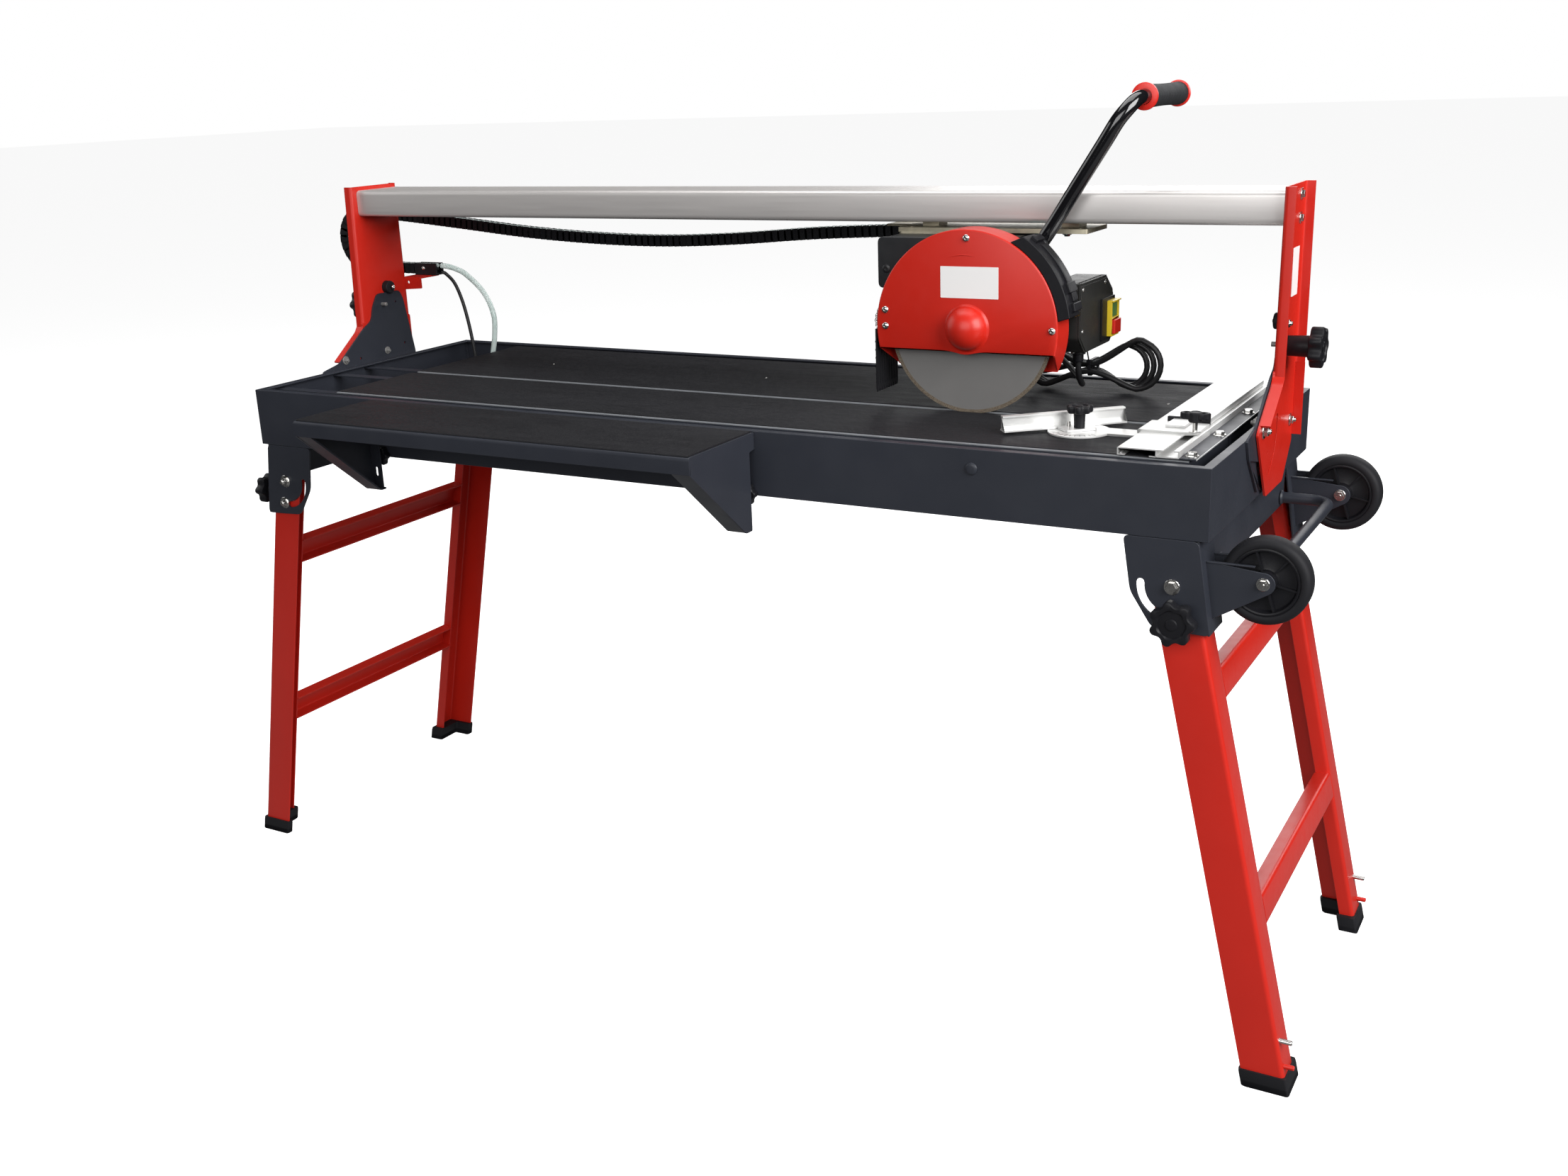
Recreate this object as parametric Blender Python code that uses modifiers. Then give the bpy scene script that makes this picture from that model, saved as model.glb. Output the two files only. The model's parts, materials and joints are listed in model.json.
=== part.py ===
"""Bridge wet tile saw on folding legs, built as separate named pieces.

Lengths are metres and +Z is up. The drawing frame has x = 0 at the middle of the water tray,
y = 0 at the tray's front wall and z = 0 on the floor. The whole saw hangs on one empty, which
moves the drawing frame so that the world origin is the middle of the saw's footprint.
"""
import math

import bmesh
import bpy
from mathutils import Matrix, Vector

# Where the drawing frame stands in the world.
FRAME_SHIFT = Vector((0.02825, -0.1730, 0.0))

GAP = 0.0003                    # running gap between neighbouring pieces
SHEET = 0.0025                  # folded steel sheet

# Water tray and the two halves of the cutting table.
TRAY_HALF = 0.746
TRAY_DEPTH = 0.504
TRAY_TOP = 0.780
TRAY_BOTTOM = 0.694
TRAY_LIP = 0.012
TABLE_TOP = 0.7806
MAT_THICK = 0.003
PANEL_HEIGHT = 0.024
PANEL_X = (-0.604, 0.712)
FRONT_PANEL_Y = (0.030, 0.2035)
REAR_PANEL_Y = (0.2125, 0.474)
LEDGE_X = (-0.578, -0.19, 0.19, 0.578)

# Tilting bridge: it turns about the line where the blade meets the table.
BLADE_Y = 0.208
TILT_Z = 0.7806
WEB_X = 0.750
WEB_THICK = 0.003
FLANGE_OUT = 0.765
COLUMN_TOP = 1.0668
COLUMN_Y = (0.2606, 0.369)
BEAM_Y = (0.272, 0.370)
BEAM_Z = (1.0194, 1.0608)
BEAM_WALL = 0.003
BEAM_SLOT_Y = (0.301, 0.341)
LOCK_Y = 0.295
LOCK_Z = 0.872

# Cutting head, drawn where the carriage is parked.
HEAD_X = 0.368
BLADE_R = 0.115
BLADE_THICK = 0.0024
HEAD_Z = TABLE_TOP - 0.003 + BLADE_R
GUARD_R = 0.127
GUARD_Y = (0.188, 0.230)
GUARD_WALL = 0.0025
GUARD_BOTTOM = 0.863
SKIRT_BOTTOM = 0.835
MOTOR_X = 0.392
MOTOR_Z = 0.925
MOTOR_R = 0.070
PLATE_Z = (1.006, 1.012)
PLATE_Y = (0.280, 0.362)
POST_X = (0.268, 0.468)
ROLLER_R = 0.015
ROLLER_Z = BEAM_Z[0] + BEAM_WALL + ROLLER_R + GAP
SWITCH_X = (0.4628, 0.505)
SWITCH_Y = (0.245, 0.3785)
SWITCH_Z = (0.8545, 0.947)
BUTTON_Y = 0.3603
BUTTON_TRAVEL = 0.003
HANDLE_R = 0.0095
GRIP_X = 0.567
GRIP_Z = 1.174

# Folding legs.
LEG_PIVOT_X = 0.706
LEG_PIVOT_Z = 0.637
LEG_SPLAY = math.radians(12.35)
LEG_WIDTH = 0.052
LEG_SIDE = 0.045
LEG_RETURN = 0.020
LEG_FACES = (0.0, 0.4905)         # outer faces of the front and rear leg brackets
LEG_ABOVE = 0.018
LOCK_DROP = 0.038
FOOT_HEIGHT = 0.012
CROSSBAR_Z = (0.505, 0.218)
CROSSBAR_TALL = 0.040

# Transport wheels and the carrying handle.
WHEEL_X = 0.805
WHEEL_Z = 0.647
WHEEL_R = 0.052
WHEEL_WIDE = 0.030
WHEEL_Y = (0.037, 0.467)
AXLE_R = 0.0045

# Side extension table.
SIDE_X = (-0.504, 0.155)
SIDE_FRONT = -0.158
SIDE_TOP = 0.779
SIDE_LIP = 0.022
GUSSET_LOW = 0.650

# End rail with its sliding angle stop.
RAIL_X = (0.6275, 0.701)
RAIL_Y = (0.028, 0.478)
RAIL_Z = (0.7809, 0.7903)
STOP_Y = (0.115, 0.170)
ANGLE_X = 0.547
ANGLE_Y = 0.128
STOP_KNOB = (0.6925, 0.121)
ANGLE_TURN = math.radians(41.0)

# Free mains lead.
CORD_R = 0.004
HANK_X = (0.345, 0.574)
HANK_Y = (0.380, 0.412)
HANK_Z = (0.7811, 0.838)


# ---------------------------------------------------------------- scene and helpers

for old in list(bpy.data.objects):
    bpy.data.objects.remove(old, do_unlink=True)

PARTS = bpy.data.collections.new("wet_tile_saw")
CUTTERS = bpy.data.collections.new("cutters")
bpy.context.scene.collection.children.link(PARTS)
bpy.context.scene.collection.children.link(CUTTERS)


def material(name, colour, roughness, metallic=0.0):
    made = bpy.data.materials.new(name)
    made.use_nodes = True
    shader = made.node_tree.nodes["Principled BSDF"]
    shader.inputs["Base Color"].default_value = (*colour, 1.0)
    shader.inputs["Roughness"].default_value = roughness
    shader.inputs["Metallic"].default_value = metallic
    return made


RED = material("red_powder_coat", (0.62, 0.035, 0.018), 0.4)
GREY = material("anthracite_powder_coat", (0.035, 0.04, 0.052), 0.5)
ALUMINIUM = material("satin_aluminium", (0.66, 0.64, 0.63), 0.4, 1.0)
ZINC = material("zinc_plate", (0.60, 0.58, 0.50), 0.35, 1.0)
STEEL = material("ground_steel", (0.30, 0.30, 0.30), 0.35, 1.0)
RUBBER = material("black_rubber", (0.012, 0.012, 0.013), 0.75)
PLASTIC = material("black_plastic", (0.015, 0.015, 0.016), 0.45)
GLOSS = material("black_gloss_paint", (0.008, 0.008, 0.009), 0.15)
TEAL = material("teal_enamel", (0.09, 0.26, 0.26), 0.4)
YELLOW = material("yellow_plastic", (0.75, 0.55, 0.03), 0.4)
STOP_RED = material("red_plastic", (0.65, 0.02, 0.01), 0.35)
GREEN = material("green_plastic", (0.02, 0.35, 0.08), 0.35)
CLEAR = material("clear_tube", (0.7, 0.78, 0.76), 0.2)

BODIES = {}


def body(name, pivot, parent=None):
    """Empty on a joint's axis; everything that moves with the joint is parented to it."""
    frame = bpy.data.objects.new(name + "_body", None)
    frame.empty_display_size = 0.03
    PARTS.objects.link(frame)
    if parent is None:
        frame.location = FRAME_SHIFT + Vector(pivot)
    else:
        frame.parent = BODIES[parent][0]
        frame.location = Vector(pivot) - BODIES[parent][1]
    BODIES[name] = (frame, Vector(pivot))


def link(obj, collection, owner, mat=None):
    """Hangs an object drawn in the drawing frame on its body, with its origin on the joint."""
    frame, pivot = BODIES[owner]
    obj.data.transform(Matrix.Translation(-pivot) @ obj.matrix_basis)
    obj.matrix_basis = Matrix.Identity(4)
    obj.parent = frame
    collection.objects.link(obj)
    if mat is not None:
        obj.data.materials.append(mat)
    return obj


def part(obj, owner, mat):
    return link(obj, PARTS, owner, mat)


def cutter(obj, owner):
    link(obj, CUTTERS, owner)
    obj.hide_render = True
    obj.display_type = "WIRE"
    return obj


def shape(name, mesh_maker):
    mesh = bpy.data.meshes.new(name)
    cage = bmesh.new()
    mesh_maker(cage)
    bmesh.ops.recalc_face_normals(cage, faces=cage.faces)
    cage.to_mesh(mesh)
    cage.free()
    return bpy.data.objects.new(name, mesh)


def box(name, low, high):
    low, high = Vector(low), Vector(high)

    def make(cage):
        bmesh.ops.create_cube(cage, size=1.0)
        bmesh.ops.scale(cage, vec=high - low, verts=cage.verts)
        bmesh.ops.translate(cage, vec=(low + high) / 2, verts=cage.verts)
    return shape(name, make)


def towards(axis):
    """Rotation that turns local +Z to a world axis, with local X kept level."""
    return {"x": Matrix(((0, 0, 1), (1, 0, 0), (0, 1, 0))),
            "y": Matrix(((1, 0, 0), (0, 0, 1), (0, -1, 0))),
            "z": Matrix.Identity(3)}[axis].to_4x4()


def rod(name, centre, axis, radius, low, high, sides=24, far_radius=None):
    """Round bar or cone along a world axis, between two places on that axis."""
    far_radius = radius if far_radius is None else far_radius
    middle = Vector(centre)
    middle["xyz".index(axis)] = (low + high) / 2

    def make(cage):
        bmesh.ops.create_cone(cage, cap_ends=True, segments=sides, radius1=radius,
                              radius2=far_radius, depth=high - low)
        bmesh.ops.transform(cage, matrix=Matrix.Translation(middle) @ towards(axis),
                            verts=cage.verts)
    return shape(name, make)


def as_mesh(curve_object):
    """Solid mesh of a filled or tubular curve, its loose caps welded on."""
    bpy.context.scene.collection.objects.link(curve_object)
    bpy.context.view_layer.update()
    evaluated = curve_object.evaluated_get(bpy.context.evaluated_depsgraph_get())
    mesh = bpy.data.meshes.new_from_object(evaluated)
    cage = bmesh.new()
    cage.from_mesh(mesh)
    bmesh.ops.remove_doubles(cage, verts=cage.verts, dist=0.00001)
    bmesh.ops.recalc_face_normals(cage, faces=cage.faces)
    cage.to_mesh(mesh)
    cage.free()
    name, place = curve_object.name, curve_object.matrix_basis.copy()
    bpy.data.objects.remove(curve_object, do_unlink=True)
    solid = bpy.data.objects.new(name, mesh)
    solid.matrix_basis = place
    return solid


def prism(name, outline, axis, low, high):
    """Flat outline extruded along a world axis.

    The outline's two numbers are (x, z) for a prism along y, (y, z) along x and (x, y) along z.
    """
    curve = bpy.data.curves.new(name, "CURVE")
    curve.dimensions = "2D"
    curve.fill_mode = "BOTH"
    curve.extrude = abs(high - low) / 2
    spline = curve.splines.new("POLY")
    spline.points.add(len(outline) - 1)
    for point, (a, b) in zip(spline.points, outline):
        point.co = (a, b, 0.0, 1.0)
    spline.use_cyclic_u = True
    flat = bpy.data.objects.new(name, curve)
    turn = {"x": Matrix(((0, 0, 1), (1, 0, 0), (0, 1, 0))),
            "y": Matrix(((1, 0, 0), (0, 0, -1), (0, 1, 0))),
            "z": Matrix.Identity(3)}[axis].to_4x4()
    place = Vector((0, 0, 0))
    place["xyz".index(axis)] = (low + high) / 2
    flat.matrix_basis = Matrix.Translation(place) @ turn
    return as_mesh(flat)


def arc(centre, radius, start, end, steps):
    """Points on a circle from one angle to another, in degrees."""
    points = []
    for step in range(steps + 1):
        angle = math.radians(start + (end - start) * step / steps)
        points.append((centre[0] + radius * math.cos(angle),
                       centre[1] + radius * math.sin(angle)))
    return points


def turned(name, profile, centre, axis, steps=24):
    """Closed profile of (radius, height) turned about a world axis through centre.

    The profile runs down its outer side first.
    """
    def make(cage):
        ring = [cage.verts.new((r, 0.0, h)) for r, h in profile]
        for first, second in zip(ring, ring[1:] + ring[:1]):
            cage.edges.new((first, second))
    wire = bpy.data.meshes.new(name)
    cage = bmesh.new()
    make(cage)
    cage.to_mesh(wire)
    cage.free()
    lathe = bpy.data.objects.new(name, wire)
    screw = lathe.modifiers.new("turn", "SCREW")
    screw.steps = steps
    screw.render_steps = steps
    screw.use_merge_vertices = True
    screw.merge_threshold = 0.00001
    bpy.context.scene.collection.objects.link(lathe)
    bpy.context.view_layer.update()
    evaluated = lathe.evaluated_get(bpy.context.evaluated_depsgraph_get())
    mesh = bpy.data.meshes.new_from_object(evaluated)
    bpy.data.objects.remove(lathe, do_unlink=True)
    mesh.transform(Matrix.Translation(Vector(centre)) @ height_along(axis))
    return bpy.data.objects.new(name, mesh)


def smooth_route(points, spacing):
    """Evenly spaced points on a smooth curve through a route's own points."""
    route = [Vector(p) for p in points]
    route = [2 * route[0] - route[1]] + route + [2 * route[-1] - route[-2]]
    fine = []
    for i in range(1, len(route) - 2):
        a, b, c, d = route[i - 1:i + 3]
        for step in range(24):
            t = step / 24
            fine.append(0.5 * (2 * b + (c - a) * t + (2 * a - 5 * b + 4 * c - d) * t * t
                               + (3 * b - a - 3 * c + d) * t ** 3))
    fine.append(route[-2])
    total = sum((q - p).length for p, q in zip(fine, fine[1:]))
    count = max(2, round(total / spacing))
    even, walked, index = [fine[0]], 0.0, 0
    for n in range(1, count):
        goal = total * n / count
        while walked + (fine[index + 1] - fine[index]).length < goal:
            walked += (fine[index + 1] - fine[index]).length
            index += 1
        step = (fine[index + 1] - fine[index])
        even.append(fine[index] + step * ((goal - walked) / step.length))
    even.append(fine[-1])
    return even


def tube(name, points, radius, resolution=2):
    curve = bpy.data.curves.new(name, "CURVE")
    curve.dimensions = "3D"
    curve.bevel_depth = radius
    curve.bevel_resolution = resolution
    curve.use_fill_caps = True
    spline = curve.splines.new("POLY")
    spline.points.add(len(points) - 1)
    for point, place in zip(spline.points, points):
        point.co = (*place, 1.0)
    return as_mesh(bpy.data.objects.new(name, curve))


def boolean(target, tool, operation):
    step = target.modifiers.new(operation.lower(), "BOOLEAN")
    step.operation = operation
    step.solver = "EXACT"
    step.object = tool


def cut(target, owner, *tools):
    for tool in tools:
        boolean(target, cutter(tool, owner), "DIFFERENCE")


def weld(target, owner, *tools):
    for tool in tools:
        boolean(target, cutter(tool, owner), "UNION")


def soften(obj, width, segments=1):
    bevel = obj.modifiers.new("edge", "BEVEL")
    bevel.width = width
    bevel.segments = segments
    bevel.limit_method = "ANGLE"


def star_outline(centre, radius, lobes=7, depth=0.09):
    points = []
    for step in range(lobes * 4):
        angle = 2 * math.pi * step / (lobes * 4)
        reach = radius * (1 - depth + depth * math.cos(lobes * angle))
        points.append((centre[0] + reach * math.cos(angle), centre[1] + reach * math.sin(angle)))
    return points


def star_knob(name, centre, axis, radius, head, hub, hub_radius):
    """Lobed clamping knob: its head and hub lie between two places each along the axis."""
    flat = [c for c, letter in zip(centre, "xyz") if letter != axis]
    knob = part(prism(name, star_outline(flat, radius), axis, *head), name, PLASTIC)
    weld(knob, name, rod(name + "_hub", centre, axis, hub_radius, *hub, sides=16))
    return knob


# ---------------------------------------------------------------- bodies

def make_bodies():
    body("base", (0, 0, 0))
    body("bridge", (0, BLADE_Y, TILT_Z), "base")
    body("carriage", (HEAD_X, BEAM_Y[0], BEAM_Z[0]), "bridge")
    body("blade", (HEAD_X, BLADE_Y, HEAD_Z), "carriage")
    for place, name in zip(POST_X, ("left_roller", "right_roller")):
        body(name, (place, BLADE_Y, ROLLER_Z), "carriage")
    body("start_button", (SWITCH_X[1], BUTTON_Y, 0.8995), "carriage")
    body("stop_button", (SWITCH_X[1], BUTTON_Y, 0.8775), "carriage")
    for side, name in ((-1, "left_legs"), (1, "right_legs")):
        body(name, (side * LEG_PIVOT_X, 0, LEG_PIVOT_Z), "base")
    for place, name in zip(WHEEL_Y, ("front_wheel", "rear_wheel")):
        body(name, (WHEEL_X, place, WHEEL_Z), "base")
    for side, name in ((-1, "left_tilt_knob"), (1, "right_tilt_knob")):
        body(name, (side * WEB_X, LOCK_Y, LOCK_Z), "bridge")
    body("left_leg_knob", (-0.757, 0.030, 0.612), "base")
    body("right_leg_knob", lock_point(1), "base")
    body("side_table", (0, 0, SIDE_TOP), "base")
    for place, name in zip(side_knob_x(), ("left_side_knob", "right_side_knob")):
        body(name, (place, -0.008, 0.697), "side_table")
    body("angle_stop", (sum(RAIL_X) / 2, STOP_Y[0], RAIL_Z[1]), "base")
    body("stop_knob", (0.678, 0.136, RAIL_Z[1]), "angle_stop")
    body("angle_fence", (ANGLE_X, ANGLE_Y, TABLE_TOP), "angle_stop")
    body("angle_knob", (ANGLE_X, ANGLE_Y, TABLE_TOP), "angle_fence")


def lock_point(side):
    return (side * (LEG_PIVOT_X + LOCK_DROP * math.sin(LEG_SPLAY)), -0.010,
            LEG_PIVOT_Z - LOCK_DROP * math.cos(LEG_SPLAY))


def side_knob_x():
    return (SIDE_X[0] + 0.012, SIDE_X[1] - 0.012)


# ---------------------------------------------------------------- base

def make_tray():
    tray = part(box("water_tray", (-TRAY_HALF, 0, TRAY_BOTTOM), (TRAY_HALF, TRAY_DEPTH, TRAY_TOP)),
                "base", GREY)
    inside = TRAY_HALF - SHEET
    cut(tray, "base",
        box("tray_hollow", (-inside, SHEET, TRAY_BOTTOM + SHEET),
            (inside, TRAY_DEPTH - SHEET, TRAY_TOP - SHEET)),
        box("tray_mouth", (TRAY_LIP - TRAY_HALF, TRAY_LIP, TRAY_TOP - 0.01),
            (TRAY_HALF - TRAY_LIP, TRAY_DEPTH - TRAY_LIP, TRAY_TOP + 0.01)))
    top = TABLE_TOP - MAT_THICK - PANEL_HEIGHT - GAP
    for number, place in enumerate(LEDGE_X):
        weld(tray, "base", box("ledge_%d" % number, (place - 0.011, SHEET / 2, top - 0.012),
                               (place + 0.011, TRAY_DEPTH - SHEET / 2, top)))


def make_panels():
    top = TABLE_TOP - MAT_THICK - GAP
    for name, span in (("front", FRONT_PANEL_Y), ("rear", REAR_PANEL_Y)):
        panel = part(box(name + "_table_panel", (PANEL_X[0], span[0], top - PANEL_HEIGHT),
                         (PANEL_X[1], span[1], top)), "base", GREY)
        cut(panel, "base", box(name + "_panel_hollow",
                               (PANEL_X[0] + SHEET, span[0] + SHEET, top - PANEL_HEIGHT - 0.01),
                               (PANEL_X[1] - SHEET, span[1] - SHEET, top - SHEET)))
        part(box(name + "_table_mat", (PANEL_X[0] + 0.002, span[0] + 0.004, top + GAP),
                 (PANEL_X[1] - 0.004, span[1] - 0.004, TABLE_TOP)), "base", RUBBER)


def make_pivot_plates():
    """Grey gusset bolted to each tray end, which carries the bridge's pivot."""
    outline = [(0.146, 0.781), (0.160, 0.752), (0.230, 0.700), (0.360, 0.700), (0.370, 0.781),
               (0.352, 0.876), (0.344, 0.890), (0.291, 0.890), (0.278, 0.870), (0.271, 0.848),
               (0.251, 0.8376), (0.186, 0.789)]
    for side, name in ((-1, "left"), (1, "right")):
        ends = sorted((side * (TRAY_HALF + GAP), side * (WEB_X - GAP - 0.0004)))
        part(prism(name + "_pivot_plate", outline, "x", *ends), "base", GREY)


def make_leg_mounts():
    for side, name in ((-1, "left"), (1, "right")):
        make_leg_mount(side, name)


def make_leg_mount(side, name):
    """Welded bracket pair with the cross channel; the right one carries the wheel forks."""
    top = TRAY_BOTTOM - GAP
    cheek = [(0.646, top), (0.735, top), (0.752, 0.582), (0.683, 0.585), (0.656, 0.627)]
    cheek = [(side * x, z) for x, z in cheek]
    web = [(0.732, top), (0.7355, top), (0.752, 0.582), (0.749, 0.582)]
    web = [(side * x, z) for x, z in web]
    near, far = LEG_FACES
    mount = part(box(name + "_leg_mount", *ordered((side * 0.7065, near + 0.0004, 0.6725),
                                                   (side * 0.7345, far - 0.0004, top))),
                 "base", GREY)
    ends = ((near, near + 0.003, near + 0.058), (far, far - 0.003, far - 0.058))
    for number, (outer, inner, deep) in enumerate(ends):
        weld(mount, "base",
             prism("%s_cheek_%d" % (name, number), cheek, "y", *sorted((outer, inner))),
             prism("%s_web_%d" % (name, number), web, "y", *sorted(((outer + inner) / 2, deep))))
    weld(mount, "base", box(name + "_end_web", *ordered((side * 0.7335, 0.062, 0.632),
                                                        (side * 0.7365, 0.430, top))))
    if side > 0:
        for centre in WHEEL_Y:
            add_fork(mount, centre)


def ordered(a, b):
    low = tuple(min(p, q) for p, q in zip(a, b))
    high = tuple(max(p, q) for p, q in zip(a, b))
    return low, high


def add_fork(mount, centre):
    """Two cheeks and a plain axle pin that carry one transport wheel."""
    nose = arc((WHEEL_X, WHEEL_Z), 0.014, 95, -60, 6)
    outline = nose + [(0.7487, 0.598), (0.7384, 0.668)]
    half = WHEEL_WIDE / 2 + 0.002
    for number, sign in enumerate((-1, 1)):
        span = sorted((centre + sign * half, centre + sign * (half + SHEET)))
        weld(mount, "base", prism("fork_%d_%d" % (centre * 1000, number), outline, "y", *span))
    weld(mount, "base", rod("axle_%d" % (centre * 1000), (WHEEL_X, centre, WHEEL_Z), "y",
                            AXLE_R, centre - half - 0.006, centre + half + 0.006, 12))


def make_carry_handle():
    reach, ends, bend = 0.801, (0.094, 0.410), 0.024
    start = 0.7365 + GAP
    route = [(start, ends[0], WHEEL_Z)]
    for centre_y, first, last in ((ends[0] + bend, -90, 0), (ends[1] - bend, 0, 90)):
        route += [(x, y, WHEEL_Z) for x, y in arc((reach - bend, centre_y), bend, first, last, 5)]
    route.append((start, ends[1], WHEEL_Z))
    part(tube("carry_handle", route, 0.0075), "base", GREY)


def make_pump():
    pump = part(box("water_pump", (-0.690, 0.372, TRAY_BOTTOM + SHEET + GAP),
                    (-0.612, 0.442, 0.742)), "base", PLASTIC)
    soften(pump, 0.006)


def make_end_rail():
    """Extruded rail across the right end of the table."""
    (x0, x1), (z0, z1) = RAIL_X, RAIL_Z
    rail = part(box("end_rail", (x0, RAIL_Y[0], z0), (x1, RAIL_Y[1], z1)), "base", ALUMINIUM)
    cut(rail, "base",
        box("rail_channel", (x0 + 0.0475, RAIL_Y[0] - 0.01, z0 + 0.002),
            (x1 - 0.003, RAIL_Y[1] + 0.01, z1 + 0.01)),
        box("rail_hollow", (x0 + 0.002, RAIL_Y[0] - 0.01, z0 + 0.002),
            (x0 + 0.0445, RAIL_Y[1] + 0.01, z1 - 0.002)))


# ---------------------------------------------------------------- bridge

def make_columns():
    """Folded red columns: a web against the beam's end and two flanges that point outwards."""
    web = [(COLUMN_Y[0], COLUMN_TOP), (COLUMN_Y[1], COLUMN_TOP), (COLUMN_Y[1], 0.737),
           (0.327, 0.691), (0.238, 0.691), (0.182, 0.780), (0.191, 0.789), (0.2465, 0.830),
           (0.2530, 0.842)]
    for side, name in ((-1, "left"), (1, "right")):
        column = part(prism(name + "_column", web, "x",
                            *sorted((side * WEB_X, side * (WEB_X + WEB_THICK)))), "bridge", RED)
        inner, outer = side * (WEB_X + WEB_THICK / 2), side * FLANGE_OUT
        slant = [(COLUMN_Y[0], COLUMN_TOP), (COLUMN_Y[0] + 0.003, COLUMN_TOP), (0.2560, 0.842),
                 (0.2530, 0.842)]
        weld(column, "bridge",
             prism(name + "_front_flange", slant, "x", *sorted((inner, outer))),
             box(name + "_back_flange", *ordered((inner, COLUMN_Y[1] - 0.003, 0.745),
                                                 (outer, COLUMN_Y[1], COLUMN_TOP))))
        if side < 0:
            weld(column, "bridge",
                 box("chain_tab", (-0.7515, COLUMN_Y[1] - 0.003, 0.888), (-0.715, 0.3685, 0.9095)),
                 box("chain_shelf", (-0.7515, COLUMN_Y[1] - 0.002, 0.907),
                     (-0.715, 0.414, 0.9100)))


def make_beam():
    ends = WEB_X - GAP
    beam = part(box("beam", (-ends, BEAM_Y[0], BEAM_Z[0]), (ends, BEAM_Y[1], BEAM_Z[1])),
                "bridge", ALUMINIUM)
    cut(beam, "bridge",
        box("beam_hollow", (-ends - 0.01, BEAM_Y[0] + BEAM_WALL, BEAM_Z[0] + BEAM_WALL),
            (ends + 0.01, BEAM_Y[1] - BEAM_WALL, BEAM_Z[1] - BEAM_WALL)),
        box("beam_slot", (-ends - 0.01, BEAM_SLOT_Y[0], BEAM_Z[0] - 0.01),
            (ends + 0.01, BEAM_SLOT_Y[1], BEAM_Z[0] + 0.01)))


def make_drag_chain():
    """Cable chain: it sags under the beam, loops outside the left column and comes back."""
    y = 0.402
    loop = [(x, y, z) for x, z in arc((-0.875, 0.9695), 0.047, 98, 264, 7)]
    route = [(0.159, y, 0.996), (0.04, y, 0.990), (-0.10, y, 0.980), (-0.229, y, 0.975),
             (-0.36, y, 0.977), (-0.50, y, 0.985), (-0.64, y, 0.998), (-0.776, y, 1.010)]
    route += loop + [(-0.83, y, 0.9212), (-0.78, y, 0.9205), (-0.740, y, 0.9205),
                     (-0.700, y, 0.9205)]
    part(tube("drag_chain", smooth_route(route, 0.028), 0.0095), "bridge", PLASTIC)


def make_hoses():
    water = [(-0.6970, 0.402, 0.9252), (-0.6880, 0.4045, 0.9245), (-0.6730, 0.412, 0.9190),
             (-0.6570, 0.418, 0.9090), (-0.6246, 0.420, 0.8800), (-0.6070, 0.420, 0.8430),
             (-0.6090, 0.420, 0.8050), (-0.6165, 0.420, 0.7730), (-0.6190, 0.420, 0.7435)]
    power = [(-0.6970, 0.402, 0.9150), (-0.6910, 0.404, 0.9120), (-0.6820, 0.414, 0.8950),
             (-0.6730, 0.419, 0.8650), (-0.6650, 0.420, 0.8300), (-0.6590, 0.420, 0.7936),
             (-0.6560, 0.420, 0.7650), (-0.6555, 0.420, 0.7430)]
    part(tube("water_hose", smooth_route(water, 0.014), 0.0045), "bridge", CLEAR)
    part(tube("pump_cable", smooth_route(power, 0.010), 0.003), "bridge", PLASTIC)


def make_tilt_knobs():
    for side, name in ((-1, "left_tilt_knob"), (1, "right_tilt_knob")):
        near = side * (WEB_X + WEB_THICK + GAP)
        inner, outer = ((0.776, 0.793), (0.786, 0.802))[side > 0]
        star_knob(name, (near, LOCK_Y, LOCK_Z), "x", 0.026, sorted((side * inner, side * outer)),
                  sorted((near, side * (inner + 0.001))), 0.0125)


# ---------------------------------------------------------------- carriage

def make_carriage():
    """Zinc plate under the beam, its two posts in the slot and a tab for the chain."""
    plate = part(box("carriage_plate", (0.230, PLATE_Y[0], PLATE_Z[0]),
                     (0.506, PLATE_Y[1], PLATE_Z[1])), "carriage", ZINC)
    for number, place in enumerate(POST_X):
        weld(plate, "carriage", box("post_%d" % number, (place - 0.012, 0.306, PLATE_Z[1] - 0.001),
                                    (place + 0.012, 0.336, ROLLER_Z + 0.008)))
    weld(plate, "carriage", box("chain_arm", (0.161, 0.350, PLATE_Z[0] + 0.0005),
                                (0.262, 0.412, PLATE_Z[0] + 0.0035)))
    for number, place in enumerate(POST_X):
        cut(plate, "carriage", rod("axle_hole_%d" % number, (place, 0, ROLLER_Z), "y", 0.0043,
                                   0.29, 0.35, 12))


def make_rollers():
    """Each axle runs through a post and carries a roller on either side of the slot."""
    spools = [(ROLLER_R, 0.361), (ROLLER_R, 0.345), (0.004, 0.345), (0.004, 0.297),
              (ROLLER_R, 0.297), (ROLLER_R, 0.281)]
    for place, name in zip(POST_X, ("left_roller", "right_roller")):
        profile = [(r, h) for r, h in spools]
        profile = [(0.0, profile[0][1])] + profile + [(0.0, profile[-1][1])]
        part(lathe_solid(name + "_axle", profile, (place, 0, ROLLER_Z), "y", 20), name, STEEL)


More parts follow.
